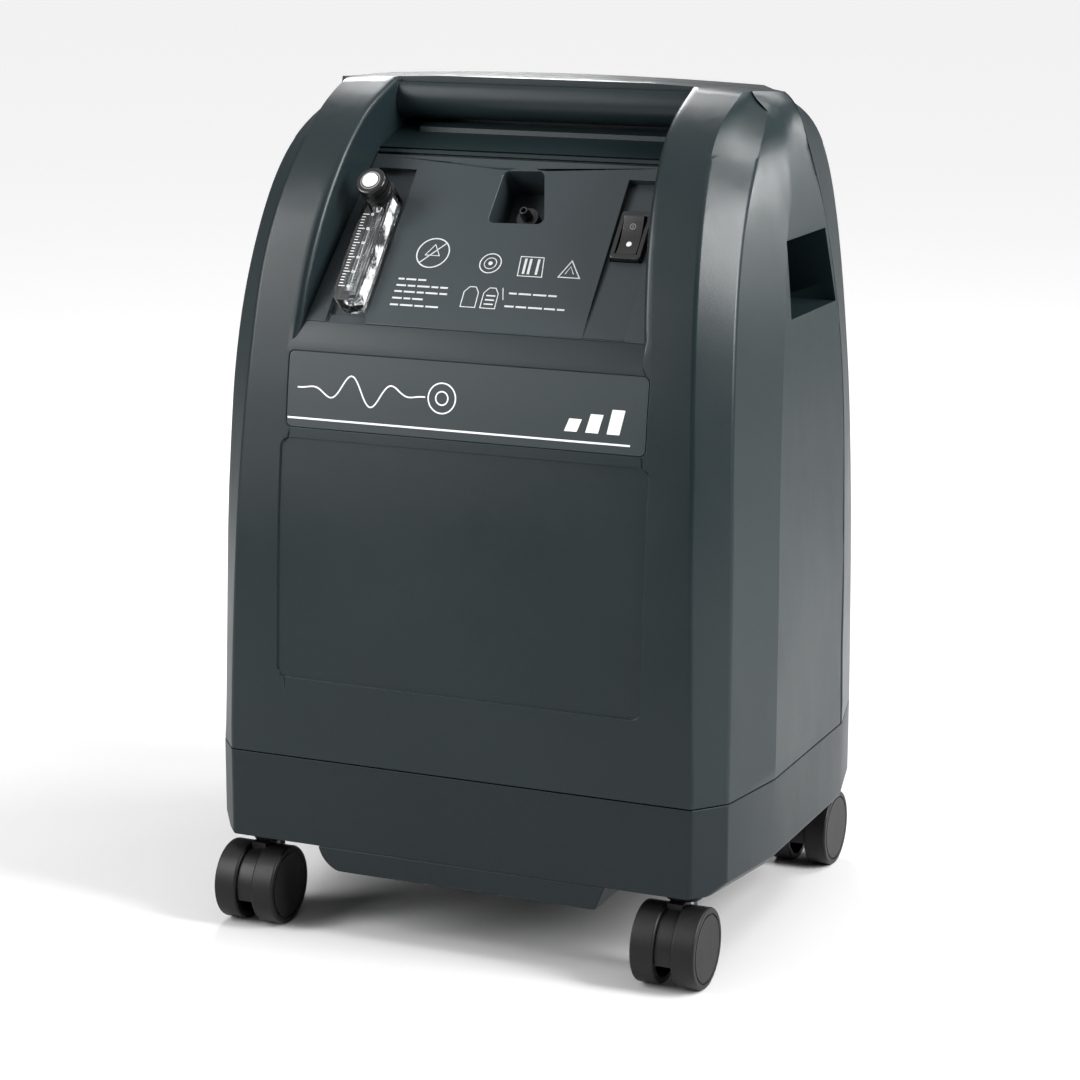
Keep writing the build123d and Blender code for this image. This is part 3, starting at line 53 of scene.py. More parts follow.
# ------------------------------------------------------------------ places taken from the frame
tub_low, tub_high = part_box("base_tub")
MIDDLE_Y = (tub_low.y + tub_high.y) / 2          # middle of the cabinet, front to back
SEAM_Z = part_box("front_cabinet")[0].z            # lower edge of the upper cabinet
outlet = next(mount for mount in frame["record"]["mounts"] if mount["name"] == "oxygen_outlet")
NORMAL = Vector(outlet["axis"])                  # out of the control panel
UP = Vector((0, NORMAL.z, -NORMAL.y))            # up the control panel
OUTLET_V = 99 * MM                               # the outlet's distance up the panel
OUTLET_SUNK = 18.5 * MM                          # the mount lies this far below the panel's face
FACE = Vector(outlet["pos_m"]) + NORMAL * OUTLET_SUNK - UP * OUTLET_V
FACE.x = 0


def on_panel(x, v, height=0.0):
    """Point at x across and v up the control panel, height above it, all in millimetres."""
    return FACE + Vector((x * MM, 0, 0)) + UP * (v * MM) + NORMAL * (height * MM)


# ------------------------------------------------------------------ shader helpers
class Shader:
    """A Principled material with short calls for the procedural nodes that feed it."""

    def __init__(self, name, rough=0.5, metal=0.0, specular=0.5, colour=(0.5, 0.5, 0.5)):
        self.material = bpy.data.materials.new(name)
        self.material.use_nodes = True
        self.tree = self.material.node_tree
        self.bsdf = self.tree.nodes["Principled BSDF"]
        self.set("Roughness", rough)
        self.set("Metallic", metal)
        self.set("Specular IOR Level", specular)
        self.set("Base Color", (*colour, 1))
        self.place = self.tree.nodes.new("ShaderNodeTexCoord").outputs["Object"]

    def set(self, socket, value):
        self.bsdf.inputs[socket].default_value = value

    def link(self, output, socket):
        self.tree.links.new(output, self.bsdf.inputs[socket])

    def noise(self, scale, detail=3.0, stretch=(1, 1, 1)):
        node = self.tree.nodes.new("ShaderNodeTexNoise")
        node.inputs["Scale"].default_value = scale
        node.inputs["Detail"].default_value = detail
        self.tree.links.new(self.stretched(stretch), node.inputs["Vector"])
        return node.outputs["Fac"]

    def cells(self, scale, stretch=(1, 1, 1)):
        node = self.tree.nodes.new("ShaderNodeTexVoronoi")
        node.inputs["Scale"].default_value = scale
        self.tree.links.new(self.stretched(stretch), node.inputs["Vector"])
        return node.outputs["Distance"]

    def stretched(self, stretch):
        if tuple(stretch) == (1, 1, 1):
            return self.place
        node = self.tree.nodes.new("ShaderNodeMapping")
        node.inputs["Scale"].default_value = stretch
        self.tree.links.new(self.place, node.inputs["Vector"])
        return node.outputs["Vector"]

    def ramp(self, factor, low, high, start=0.3, end=0.7):
        node = self.tree.nodes.new("ShaderNodeMapRange")
        node.inputs["From Min"].default_value = start
        node.inputs["From Max"].default_value = end
        node.inputs["To Min"].default_value = low
        node.inputs["To Max"].default_value = high
        self.tree.links.new(factor, node.inputs["Value"])
        return node.outputs["Result"]

    def mix(self, factor, first, second):
        node = self.tree.nodes.new("ShaderNodeMix")
        node.data_type = "RGBA"
        node.inputs["A"].default_value = (*first, 1)
        node.inputs["B"].default_value = (*second, 1)
        self.tree.links.new(factor, node.inputs["Factor"])
        return node.outputs["Result"]

    def add(self, first, second, share=1.0):
        node = self.tree.nodes.new("ShaderNodeMath")
        node.operation = "MULTIPLY_ADD"
        node.inputs[1].default_value = share
        self.tree.links.new(second, node.inputs[0])
        self.tree.links.new(first, node.inputs[2])
        return node.outputs["Value"]

    def bump(self, height, strength, distance):
        node = self.tree.nodes.new("ShaderNodeBump")
        node.inputs["Strength"].default_value = strength
        node.inputs["Distance"].default_value = distance
        self.tree.links.new(height, node.inputs["Height"])
        self.link(node.outputs["Normal"], "Normal")


def moulded(name, colour, lighter, rough, specular, grain=0.5, grain_size=0.7 * MM):
    """Injection-moulded plastic: a fine eroded grain, cloudy colour and scuffed sheen."""
    shader = Shader(name, rough=rough, specular=specular)
    cloud = shader.noise(9.0, 4.0)
    shader.link(shader.mix(shader.ramp(cloud, 0, 1), colour, lighter), "Base Color")
    fine = shader.noise(1.0 / grain_size, 2.0)
    pits = shader.cells(0.6 / grain_size)
    scuffs = shader.noise(60.0, 6.0, (1, 1, 0.35))
    sheen = shader.add(shader.add(cloud, fine, 0.4), scuffs, 0.5)
    shader.link(shader.ramp(sheen, rough - 0.05, rough + 0.07, 0.6, 1.2), "Roughness")
    shader.bump(shader.add(fine, pits, 0.5), grain, 0.06 * MM)
    return shader.material


CASE = moulded("case_plastic", (0.0070, 0.0132, 0.0150), (0.0088, 0.0154, 0.0176), 0.32, 0.25)
BASE = moulded("base_plastic", (0.0062, 0.0110, 0.0128), (0.0078, 0.0128, 0.0150), 0.36, 0.22)
PANEL = moulded("panel_plastic", (0.0195, 0.0270, 0.0305), (0.0220, 0.0300, 0.0335), 0.42, 0.36)
PLATE = moulded("nameplate_film", (0.0160, 0.0245, 0.0275), (0.0175, 0.0262, 0.0292), 0.40, 0.34, 0.25)
CASTER = moulded("caster_black", (0.0035, 0.0035, 0.0038), (0.0050, 0.0050, 0.0054), 0.40, 0.26)
SWITCH = moulded("switch_black", (0.004, 0.004, 0.0042), (0.006, 0.006, 0.006), 0.28, 0.5, 0.2)
KNOB = moulded("knob_black", (0.0035, 0.0035, 0.0037), (0.005, 0.005, 0.0052), 0.24, 0.5, 0.15)
OUTLET = moulded("outlet_dark", (0.006, 0.0065, 0.007), (0.010, 0.0105, 0.011), 0.35, 0.45, 0.3)
CORD = moulded("cord_black", (0.007, 0.007, 0.0072), (0.011, 0.011, 0.0115), 0.5, 0.35, 0.4)
RUBBER = moulded("tyre_rubber", (0.0045, 0.0045, 0.0048), (0.0065, 0.0065, 0.0068), 0.44, 0.24, 0.6, 1.0 * MM)
FOAM = moulded("filter_foam", (0.03, 0.031, 0.032), (0.06, 0.061, 0.063), 0.9, 0.1, 1.0, 2.0 * MM)
WHITE = moulded("white_print", (0.75, 0.76, 0.76), (0.82, 0.82, 0.82), 0.45, 0.4, 0.1)
PRINT = moulded("grey_print", (0.42, 0.43, 0.44), (0.50, 0.51, 0.52), 0.5, 0.3, 0.1)
CAP = moulded("cap_white", (0.80, 0.81, 0.81), (0.86, 0.86, 0.86), 0.3, 0.45, 0.1)
CAN = moulded("can_white", (0.62, 0.63, 0.62), (0.70, 0.70, 0.69), 0.45, 0.4, 0.3)
HOSE = moulded("hose_vinyl", (0.50, 0.53, 0.52), (0.60, 0.62, 0.61), 0.25, 0.5, 0.15)
GREY_RING = moulded("ring_grey", (0.16, 0.16, 0.165), (0.22, 0.22, 0.225), 0.35, 0.5, 0.1)
DISPLAY = moulded("display_glass", (0.003, 0.004, 0.004), (0.005, 0.006, 0.006), 0.08, 0.5, 0.05)


def metal(name, colour, darker, rough, stretch=(1, 1, 8)):
    """Bare metal with drawn or machined streaks and a few dull patches."""
    shader = Shader(name, rough=rough, metal=1.0)
    patches = shader.noise(14.0, 4.0)
    streaks = shader.noise(300.0, 3.0, stretch)
    shader.link(shader.mix(shader.ramp(patches, 0, 1), colour, darker), "Base Color")
    sheen = shader.add(patches, streaks, 0.6)
    shader.link(shader.ramp(sheen, rough - 0.08, rough + 0.12, 0.4, 1.2), "Roughness")
    shader.bump(streaks, 0.2, 0.02 * MM)
    return shader.material


STEEL = metal("steel", (0.50, 0.51, 0.53), (0.38, 0.39, 0.41), 0.32)
ALU = metal("aluminium", (0.62, 0.63, 0.64), (0.48, 0.49, 0.50), 0.42)
BRASS = metal("brass", (0.62, 0.45, 0.20), (0.48, 0.34, 0.15), 0.32)


def board():
    """Green solder mask with fine copper tracks that stand a little proud of it."""
    shader = Shader("circuit_board", rough=0.4, specular=0.5)
    tracks = shader.cells(320.0)
    share = shader.ramp(tracks, 0, 1, 0.2, 0.3)
    shader.link(shader.mix(share, (0.02, 0.10, 0.04), (0.01, 0.055, 0.022)), "Base Color")
    shader.link(shader.ramp(tracks, 0.5, 0.35, 0.2, 0.3), "Roughness")
    shader.bump(tracks, 0.3, 0.05 * MM)
    return shader.material


def acrylic():
    """Clear acrylic with faint flow waves under a polished face."""
    shader = Shader("clear_acrylic", rough=0.03, colour=(0.93, 0.96, 0.96))
    shader.set("Transmission Weight", 1.0)
    shader.set("IOR", 1.49)
    waves = shader.noise(120.0, 2.0, (1, 1, 0.4))
    shader.link(shader.ramp(waves, 0.02, 0.08), "Roughness")
    shader.bump(waves, 0.25, 0.3 * MM)
    return shader.material


def painted_glints():
    """Painted reflections: broken bright patches of colour that lie along the inside of the acrylic block."""
    shader = Shader("acrylic_painted_glints", rough=0.25, specular=0.6)
    blots = shader.noise(150.0, 3.0, (1, 0.6, 0.6))
    fine = shader.noise(500.0, 2.0)
    broken = shader.add(blots, fine, 0.25)
    share = shader.ramp(broken, 0, 1, 0.56, 0.72)
    # painted highlight: near-white base colour where the blots rise, nearly black between them
    shader.link(shader.mix(share, (0.04, 0.045, 0.045), (0.85, 0.86, 0.86)), "Base Color")
    shader.bump(broken, 0.5, 0.4 * MM)
    return shader.material


BOARD = board()
CLEAR = acrylic()
# patches of painted highlight for the flowmeter's acrylic block
PAINTED_GLINTS = painted_glints()

BY_SLOT = {
    "cabinet_plastic": CASE, "base_plastic": BASE, "panel_plastic": PANEL, "nameplate_film": PLATE,
    "caster_black": CASTER, "tyre_black": RUBBER, "steel": STEEL, "clear_acrylic": CLEAR,
    "knob_black": KNOB, "cap_white": CAP, "switch_black": SWITCH, "outlet_dark": OUTLET,
    "cord_black": CORD, "foam_grey": FOAM, "aluminium": ALU, "brass": BRASS, "board_green": BOARD,
    "white_plastic": CAN, "clear_hose": HOSE,
}
for part in frame["record"]["subparts"]:
    piece = nodes[part["node"]]
    piece.data.materials.clear()
    piece.data.materials.append(BY_SLOT[part["material_slot"]])


# ------------------------------------------------------------------ rounded mouldings
WIDEST = 7 * MM                   # widest rounding of any edge; an edge's weight is its share of it
WELD = 0.02 * MM                  # points of the CAD mesh closer than this are one point
CREASE = math.radians(24)         # gentler edges keep the crease of the CAD form
FACET = math.radians(3)           # upright lines of the sides that turn by more than this stay crisp
TIP_FACET = math.radians(9)       # the same among the fine facets of the pillar tips
TIP_Z = 450 * MM                  # the pillar tips lie above this
CRISP_TOP_Z = 500 * MM            # the facets' lines fade out above this
LEAST_LEAN = 0.4                  # an upright line rises at least this share of its run front to back
FACETS_X = 120                    # the facets of both sides lie outside this

# The numbers below are in millimetres: x from the middle, y from the cabinet's middle, z above its seam.
LEDGE_Z = 259                     # top of the front face, where the control panel begins
LEDGE_Y = -120                    # the ledge lies in front of this
PILLAR_X = 113                    # the pillar's inner edge at the ledge
PILLAR_LEAN = 0.1                 # how far the pillars close in for each millimetre up
PILLAR_FOOT_Z = 262               # the pillar stands free of the front face above this
TIPS_Z = 372                      # nothing but the pillar's inner edge is rounded above this
FACE_X = 114                      # the front face, shelf and bar lie inside this
SIDE_X = 125                      # the corner and side edges lie outside this
SEAM_LIP_Z = 2                    # the lip of the horizontal seam ends here
GRIP_Y = (-30, 75)                # room of the side hand grips
GRIP_Z = (270, 328)
GRIP_REAR_Y = 38                  # the grip's rear corner and the side seam lie behind this
# widths of the roundings
ROUND_SEAM, ROUND_PILLAR, ROUND_LEDGE = 0.3, 4.0, 2.6
ROUND_FACE, ROUND_SIDE, ROUND_REST = 0.25, 1.8, 0.5


def cabinet_rounding(point, edge):
    """Rounding in millimetres of one edge of the front or the rear cabinet."""
    x, y, z = abs(point.x) / MM, (point.y - MIDDLE_Y) / MM, (point.z - SEAM_Z) / MM
    on_pillar = abs(x - PILLAR_X + PILLAR_LEAN * (z - LEDGE_Z)) < 1.5
    in_grip = GRIP_Y[0] < y < GRIP_Y[1] and GRIP_Z[0] < z < GRIP_Z[1]
    if z < 0.5:
        return ROUND_SEAM
    if on_pillar and z > PILLAR_FOOT_Z and edge.is_convex:
        return ROUND_PILLAR
    if z > TIPS_Z and x > PILLAR_X - 1:
        return 0.0
    if abs(z - LEDGE_Z) < 1.0 and y < LEDGE_Y and x < PILLAR_X:
        return ROUND_LEDGE
    if x < FACE_X:
        return ROUND_FACE
    if x > FACETS_X and GRIP_REAR_Y < y < GRIP_Y[1] and z > PILLAR_FOOT_Z:
        return 0.0
    if x > SIDE_X and z > SEAM_LIP_Z and not in_grip:
        return ROUND_SIDE
    return ROUND_REST


def base_rounding(point, edge):
    """The tub has soft corners and lower edges, and a crisp rim where the cabinet sits in it."""
    return 0.3 if point.z > tub_high.z - 12 * MM else 1.6


def pan_rounding(point, edge):
    """The pan's floor edge is rounder than the edges above it."""
    return 1.2 if point.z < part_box("belly_pan")[0].z + 1 * MM else 0.8


def panel_rounding(point, edge):
    """Soft rims round the outlet pocket and the two channels."""
    height = (point - FACE).dot(NORMAL) / MM
    if abs(height) > 0.3:
        return 0.3
    return 0.9 if abs(point.x) < 30 * MM else 0.6


def soft_copy(node, rounding, segments=4):
    """Copy of a CAD moulding with its edges rounded, which stands for the CAD mesh."""
    source = nodes[node]
    mesh = source.data.copy()
    piece = bpy.data.objects.new(node + "_moulding", mesh)
    bpy.context.scene.collection.objects.link(piece)
    shape = bmesh.new()
    shape.from_mesh(mesh)
    bmesh.ops.remove_doubles(shape, verts=shape.verts, dist=WELD)
    bmesh.ops.dissolve_degenerate(shape, dist=WELD, edges=shape.edges)
    weights = shape.edges.layers.float.new("bevel_weight_edge")
    for edge in shape.edges:
        edge.smooth = True
        if len(edge.link_faces) != 2:
            continue
        turn = edge.calc_face_angle(0)
        point = (edge.verts[0].co + edge.verts[1].co) / 2
        if turn > CREASE:
            edge[weights] = rounding(point, edge) * MM / WIDEST
            if edge[weights] == 0:
                edge.smooth = False
            continue
        way = edge.verts[1].co - edge.verts[0].co
        upright = abs(way.z) > abs(way.x) and abs(way.z) > LEAST_LEAN * abs(way.y)
        facet = TIP_FACET if point.z > TIP_Z else FACET
        if turn > facet and upright and abs(point.x) > FACETS_X * MM and point.z < CRISP_TOP_Z:
            edge.smooth = False
    for face in shape.faces:
        face.smooth = True
    shape.to_mesh(mesh)
    shape.free()
    bevel = piece.modifiers.new("rounding", "BEVEL")
    bevel.limit_method = "WEIGHT"
    bevel.width = WIDEST
    bevel.segments = segments
    bevel.use_clamp_overlap = False
    normals = piece.modifiers.new("normals", "WEIGHTED_NORMAL")
    normals.keep_sharp = True
    normals.weight = 60
    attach(piece, "cabinet")
    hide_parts(node)
    return piece


def soft_edges(node, width, segments=2):
    """Small roundings on a CAD piece, made by modifiers that leave its mesh alone."""
    piece = nodes[node]
    weld = piece.modifiers.new("weld", "WELD")
    weld.merge_threshold = WELD
    bevel = piece.modifiers.new("rounding", "BEVEL")
    bevel.limit_method = "ANGLE"
    bevel.angle_limit = math.radians(35)
    bevel.width = width * MM
    bevel.segments = segments
    normals = piece.modifiers.new("normals", "WEIGHTED_NORMAL")
    normals.weight = 60


soft_copy("front_cabinet", cabinet_rounding)
soft_copy("rear_cabinet", cabinet_rounding)
soft_copy("base_tub", base_rounding)
soft_copy("belly_pan", pan_rounding)
soft_copy("control_panel", panel_rounding)
for node, width in (
    ("switch_bezel", 0.6), ("switch_rocker", 0.4), ("flowmeter_valve", 0.3), ("oxygen_outlet", 0.2),
    ("flowmeter_body", 1.0), ("intake_grille", 0.3), ("hour_meter", 0.3), ("cord_strap", 0.2),
    ("power_cord", 0.4), ("nameplate", 0.2),
):
    soft_edges(node, width)
for corner in ("front_left", "front_right", "rear_left", "rear_right"):
    soft_edges(f"caster_hood_{corner}", 0.7)
    for side in "ab":
        soft_edges(f"wheel_{corner}_{side}", 0.25)


# ------------------------------------------------------------------ printed marks and small pieces
class Mark:
    """Closed flat shapes laid on a surface; place(x, y, height) gives a point of it."""

    def __init__(self, name, place, material, body, low=-0.05, high=0.12):
        self.name = name
        self.place = place
        self.material = material
        self.body = body
        self.low = low
        self.high = high
        self.shape = bmesh.new()

    def loop(self, points, height):
        return [self.shape.verts.new(self.place(x, y, height)) for x, y in points]

    def skin(self, first, second):
        """Joins two loops of equal length by quads."""
        count = len(first)
        for i in range(count):
            j = (i + 1) % count
            self.shape.faces.new((first[i], first[j], second[j], second[i]))

    def area(self, points):
        """Filled shape with an outline that turns to the left."""
        lower = self.loop(points, self.low)
        upper = self.loop(points, self.high)
        self.skin(lower, upper)
        self.shape.faces.new(upper)
        self.shape.faces.new(list(reversed(lower)))

    def frame(self, outer, inner):
        """Shape between an outer and an inner outline of the same length."""
        outside = self.loop(outer, self.low), self.loop(outer, self.high)
        inside = self.loop(inner, self.low), self.loop(inner, self.high)
        self.skin(outside[0], outside[1])
        self.skin(outside[1], inside[1])
        self.skin(inside[1], inside[0])
        self.skin(inside[0], outside[0])

    def ring(self, x, y, radius, width, count=40):
        self.frame(circle(x, y, radius, count), circle(x, y, radius - width, count))

    def disc(self, x, y, radius, count=28):
        self.area(circle(x, y, radius, count))

    def box(self, x, y, across, up):
        self.area(rectangle(x, y, across, up))

    def outline(self, points, width):
        """Closed line of even width round a convex shape."""
        self.frame(points, inward(points, width))

    def stroke(self, points, width):
        """Open line of even width through some points."""
        sides = [], []
        for i, (x, y) in enumerate(points):
            ahead = points[min(i + 1, len(points) - 1)]
            behind = points[max(i - 1, 0)]
            way = Vector((ahead[0] - behind[0], ahead[1] - behind[1])).normalized() * width / 2
            sides[0].append((x + way.y, y - way.x))
            sides[1].append((x - way.y, y + way.x))
        rows = [
            self.loop(sides[0], self.low), self.loop(sides[0], self.high),
            self.loop(sides[1], self.high), self.loop(sides[1], self.low),
        ]
        for k in range(4):
            first, second = rows[k], rows[(k + 1) % 4]
            for i in range(len(points) - 1):
                self.shape.faces.new((first[i], first[i + 1], second[i + 1], second[i]))
        self.shape.faces.new([row[0] for row in reversed(rows)])
        self.shape.faces.new([row[-1] for row in rows])

    def done(self):
        bmesh.ops.recalc_face_normals(self.shape, faces=self.shape.faces)
        mesh = bpy.data.meshes.new(self.name)
        self.shape.to_mesh(mesh)
        self.shape.free()
        mesh.materials.append(self.material)
        piece = bpy.data.objects.new(self.name, mesh)
        bpy.context.scene.collection.objects.link(piece)
        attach(piece, self.body)
        return piece


def circle(x, y, radius, count):
    turns = [2 * math.pi * i / count for i in range(count)]
    return [(x + radius * math.cos(turn), y + radius * math.sin(turn)) for turn in turns]


def rectangle(x, y, across, up):
    half, rise = across / 2, up / 2
    return [(x - half, y - rise), (x + half, y - rise), (x + half, y + rise), (x - half, y + rise)]


def inward(points, width):
    """Corners of a convex outline moved in by width."""
    moved = []
    for i, (x, y) in enumerate(points):
        corner = Vector((x, y))
        back = (Vector(points[i - 1]) - corner).normalized()
        ahead = (Vector(points[(i + 1) % len(points)]) - corner).normalized()
        middle = (back + ahead).normalized()
        moved.append(tuple(corner + middle * width / math.sin(back.angle(ahead) / 2)))
    return moved


DASH_TALL, DASH_GAP = 1.2, 1.3


def panel_marks():
    """Plain signs and rows of dashes in place of the printed instructions."""
    mark = Mark("panel_marks", on_panel, PRINT, "cabinet", -0.05, 0.08)
    mark.ring(-41.4, 60.4, 10.9, 0.8, 56)
    mark.stroke([(-48.4, 53.0), (-34.4, 67.8)], 0.7)
    mark.outline([(-46.6, 58.4), (-36.2, 58.4), (-41.4, 67.0)], 0.5)
    mark.ring(-1.6, 55.5, 7.2, 0.7, 48)
    mark.ring(-1.6, 55.5, 4.2, 0.55, 36)
    mark.disc(-1.6, 55.5, 1.4, 20)
    mark.outline([(18.0, 47.6), (34.4, 47.6), (32.2, 62.0), (16.6, 62.0)], 0.6)
    for x in (20.0, 23.2, 28.4):
        mark.area([(x + 0.6, 49.4), (x + 2.2, 49.4), (x + 1.6, 60.4), (x, 60.4)])
    mark.outline([(44.0, 48.4), (59.0, 48.4), (50.4, 61.4)], 0.7)
    mark.stroke([(48.4, 51.2), (50.8, 56.6), (53.8, 51.2)], 0.55)
    for x in (-12.6, 0.4):
        bottle = [(0, 23.4), (10.2, 23.4), (9.6, 34.4), (7.0, 38.4), (2.6, 38.4), (-0.4, 34.4)]
        mark.outline([(x + across, up) for across, up in bottle], 0.55)
    for y in (26.6, 29.6, 32.6):
        mark.box(5.4, y, 6.0, 0.9)
    mark.stroke([(11.6, 38.7), (14.0, 30.2)], 0.5)
    rows = (  # left end, height and the lengths of the dashes
        (-58.5, 40.6, (4.0, 6.6, 5.4)),
        (-58.5, 36.0, (6.4, 5.0, 8.2, 4.6, 5.0)),
        (-58.5, 31.6, (5.0, 7.4, 4.6, 8.0, 5.0)),
        (-58.5, 26.8, (6.4, 4.4, 7.0)),
        (-58.5, 22.0, (5.4, 8.4, 6.0, 8.4)),
        (16.6, 35.2, (5.0, 8.0, 8.6, 5.4)),
        (16.2, 26.0, (6.0, 6.8, 9.0, 7.0, 4.8)),
    )
    for left, y, words in rows:
        x = left
        for word in words:
            mark.box(x + word / 2, y, word, DASH_TALL)
            x += word + DASH_GAP
    mark.done()


def plate_place():
    """Lays a mark on the nameplate, by x and height above the floor in millimetres."""
    surface = BVHTree.FromObject(nodes["nameplate"], bpy.context.evaluated_depsgraph_get())

    def place(x, z, height):
        start = Vector((x * MM, -1.0, z * MM))
        hit = surface.ray_cast(start, Vector((0, 1, 0)))[0]
        return hit - Vector((0, height * MM, 0))

    return place


PLATE_RULE_Z = 326.8              # heights above the floor of the nameplate's marks
PLATE_CURVE_Z = 345.5
PLATE_BARS_Z = 332.5
CURVE_START, CURVE_LONG = -111.0, 86.0  # the curve's left end and its length
CURVE_TALL, CURVE_STEPS = 9.5, 60


def plate_marks():
    """A rule, a breathing curve with a ring, and three short bars."""
    place = plate_place()
    mark = Mark("nameplate_marks", place, WHITE, "cabinet")
    mark.box(-4.5, PLATE_RULE_Z, 225.0, 1.1)
    curve = []
    for i in range(CURVE_STEPS + 1):
        share = i / CURVE_STEPS
        swell = math.sin(math.pi * share) ** 2
        height = PLATE_CURVE_Z + CURVE_TALL * swell * math.sin(6 * math.pi * share)
        curve.append((CURVE_START + CURVE_LONG * share, height))
    mark.stroke(curve, 0.85)
    mark.ring(-14.0, PLATE_CURVE_Z, 9.4, 0.8, 56)
    mark.ring(-14.0, PLATE_CURVE_Z, 4.4, 0.8, 36)
    for i, tall in enumerate((7.5, 11.0, 14.5)):
        left, top = 66.0 + 13.5 * i, PLATE_BARS_Z + tall
        mark.area([(left, PLATE_BARS_Z), (left + 8.0, PLATE_BARS_Z), (left + 11.0, top), (left + 3.0, top)])
    mark.done()


FLOW_LEFT, FLOW_RIGHT = -92.5, -75.5  # sides of the flowmeter's block on the panel
FLOW_FRONT = 11.1                 # height of the flowmeter's front face above the panel
FLOW_MIDDLE, FLOW_LONG = 59.0, 84.0   # middle and length of the strips behind the block
CHANNEL = -3.985, -3.93           # heights of the strips, just above the channel's floor
TICK_START, TICK_STEP = 26.0, 2.1     # the lowest tick, and the way from one to the next


def flowmeter_scale():
    """Ticks and small rings on the flowmeter's face, a dark strip behind it, and strips of painted highlights
    behind and beside it.
    """
    ticks = Mark("flowmeter_scale", on_panel, WHITE, "cabinet", FLOW_FRONT - 0.03, FLOW_FRONT + 0.1)
    for i in range(26):
        length = 4.2 if i % 5 == 0 else 2.4
        ticks.box(FLOW_LEFT + 2.2 + length / 2, TICK_START + TICK_STEP * i, length, 0.45)
    for i in range(6):
        ticks.ring(FLOW_LEFT + 8.6, TICK_START + 5 * TICK_STEP * i, 0.9, 0.35, 16)
    ticks.done()
    back = Mark("flowmeter_backing", on_panel, SWITCH, "cabinet", *CHANNEL)
    back.box(FLOW_LEFT + 5.4, FLOW_MIDDLE, 10.4, FLOW_LONG)
    back.done()
    # strip of painted highlights behind the block's right half
    lit = Mark("flowmeter_painted_glints", on_panel, PAINTED_GLINTS, "cabinet", *CHANNEL)
    lit.box(FLOW_RIGHT - 3.2, FLOW_MIDDLE, 5.4, FLOW_LONG)
    lit.done()

    def on_side(v, height, out):
        return on_panel(FLOW_RIGHT + out, v, height)

    # painted highlights laid on the block's right face
    side = Mark("flowmeter_side_painted_glints", on_side, PAINTED_GLINTS, "cabinet", 0.02, 0.1)
    side.box(57.0, 4.6, 72.0, 9.5)
    side.done()


KNOB_X, KNOB_V = -83.5, 92.3      # the knob's axis on the panel


def knob_ring():
    """Grey line in the groove round the white cap."""
    ring = Mark("knob_ring", on_panel, GREY_RING, "flow_knob", 27.45, 27.9)
    ring.ring(KNOB_X, KNOB_V, 6.5, 0.8, 48)
    ring.done()


ROCKER_TILT = math.radians(8)     # the rocker leans this far at rest
ROCKER_PIVOT = 83.0, 81.0, -3.0
ROCKER_LOW = 3.4                  # the face's height over the pivot, at its hollow middle
ROCKER_RISE, ROCKER_HALF = 2.1, 12.8  # how much the face rises towards its ends, and its half length


def rocker_marks():
    """White dot and a small open ring on the two faces of the power rocker."""
    along = UP * math.cos(ROCKER_TILT) + NORMAL * math.sin(ROCKER_TILT)
    out = NORMAL * math.cos(ROCKER_TILT) - UP * math.sin(ROCKER_TILT)
    pivot = on_panel(*ROCKER_PIVOT)

    def place(x, u, height):
        surface = ROCKER_LOW + ROCKER_RISE * (u / ROCKER_HALF) ** 2
        return pivot + Vector((x * MM, 0, 0)) + along * (u * MM) + out * ((surface + height) * MM)

    mark = Mark("rocker_marks", place, WHITE, "power_rocker", -0.1, 0.12)
    mark.disc(0.0, -5.6, 1.7)
    mark.done()
    grey = Mark("rocker_ring", place, GREY_RING, "power_rocker", -0.1, 0.1)
    grey.ring(0.0, 6.0, 1.9, 0.45, 28)
    grey.box(0.0, 6.0, 0.45, 1.8)
    grey.done()


WINDOW_SUNK = 1.0                 # the hour meter's window lies this far behind its rim


def meter_digits():
    """Five zeros on the hour meter's window."""
    low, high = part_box("hour_meter")
    middle = (low + high) / 2

    def place(x, z, height):
        return Vector((middle.x - x * MM, high.y - (WINDOW_SUNK - height) * MM, middle.z + z * MM))

    glass = Mark("meter_window", place, DISPLAY, "cabinet", -0.05, 0.2)
    glass.box(0.0, 0.0, 25.0, 8.2)
    glass.done()
    digits = Mark("meter_digits", place, WHITE, "cabinet", 0.18, 0.3)
    for i in range(5):
        digits.outline(rectangle(-9.2 + 4.6 * i, 0.0, 2.8, 5.0), 0.6)
    digits.done()


panel_marks()
plate_marks()
flowmeter_scale()
knob_ring()
rocker_marks()
meter_digits()


# ------------------------------------------------------------------ studio
def floor():
    """Plain pale floor that reaches beyond the picture."""
    bpy.ops.mesh.primitive_plane_add(size=80, location=(0, 0, 0))
    plane = bpy.context.object
    plane.name = "studio_floor"
    shader = Shader("studio_floor", rough=0.85, specular=0.1, colour=(0.56, 0.56, 0.56))
    far_glow(shader)
    plane.data.materials.append(shader.material)


def far_glow(shader):
    """Makes the distant floor as bright as a lit backdrop, for the camera alone."""
    tree = shader.tree
    place = tree.nodes.new("ShaderNodeNewGeometry").outputs["Position"]
    length = tree.nodes.new("ShaderNodeVectorMath")
    length.operation = "LENGTH"
    tree.links.new(place, length.inputs[0])
    glow = shader.ramp(length.outputs["Value"], 0.0, 0.56, 0.4, 1.8)
    seen = tree.nodes.new("ShaderNodeMath")
    seen.operation = "MULTIPLY"
    tree.links.new(glow, seen.inputs[0])
    tree.links.new(tree.nodes.new("ShaderNodeLightPath").outputs["Is Camera Ray"], seen.inputs[1])
    shader.set("Emission Color", (1, 1, 1, 1))
    shader.link(seen.outputs["Value"], "Emission Strength")


BACKDROP = 0.93                   # brightness of the air beyond the floor, for the camera alone


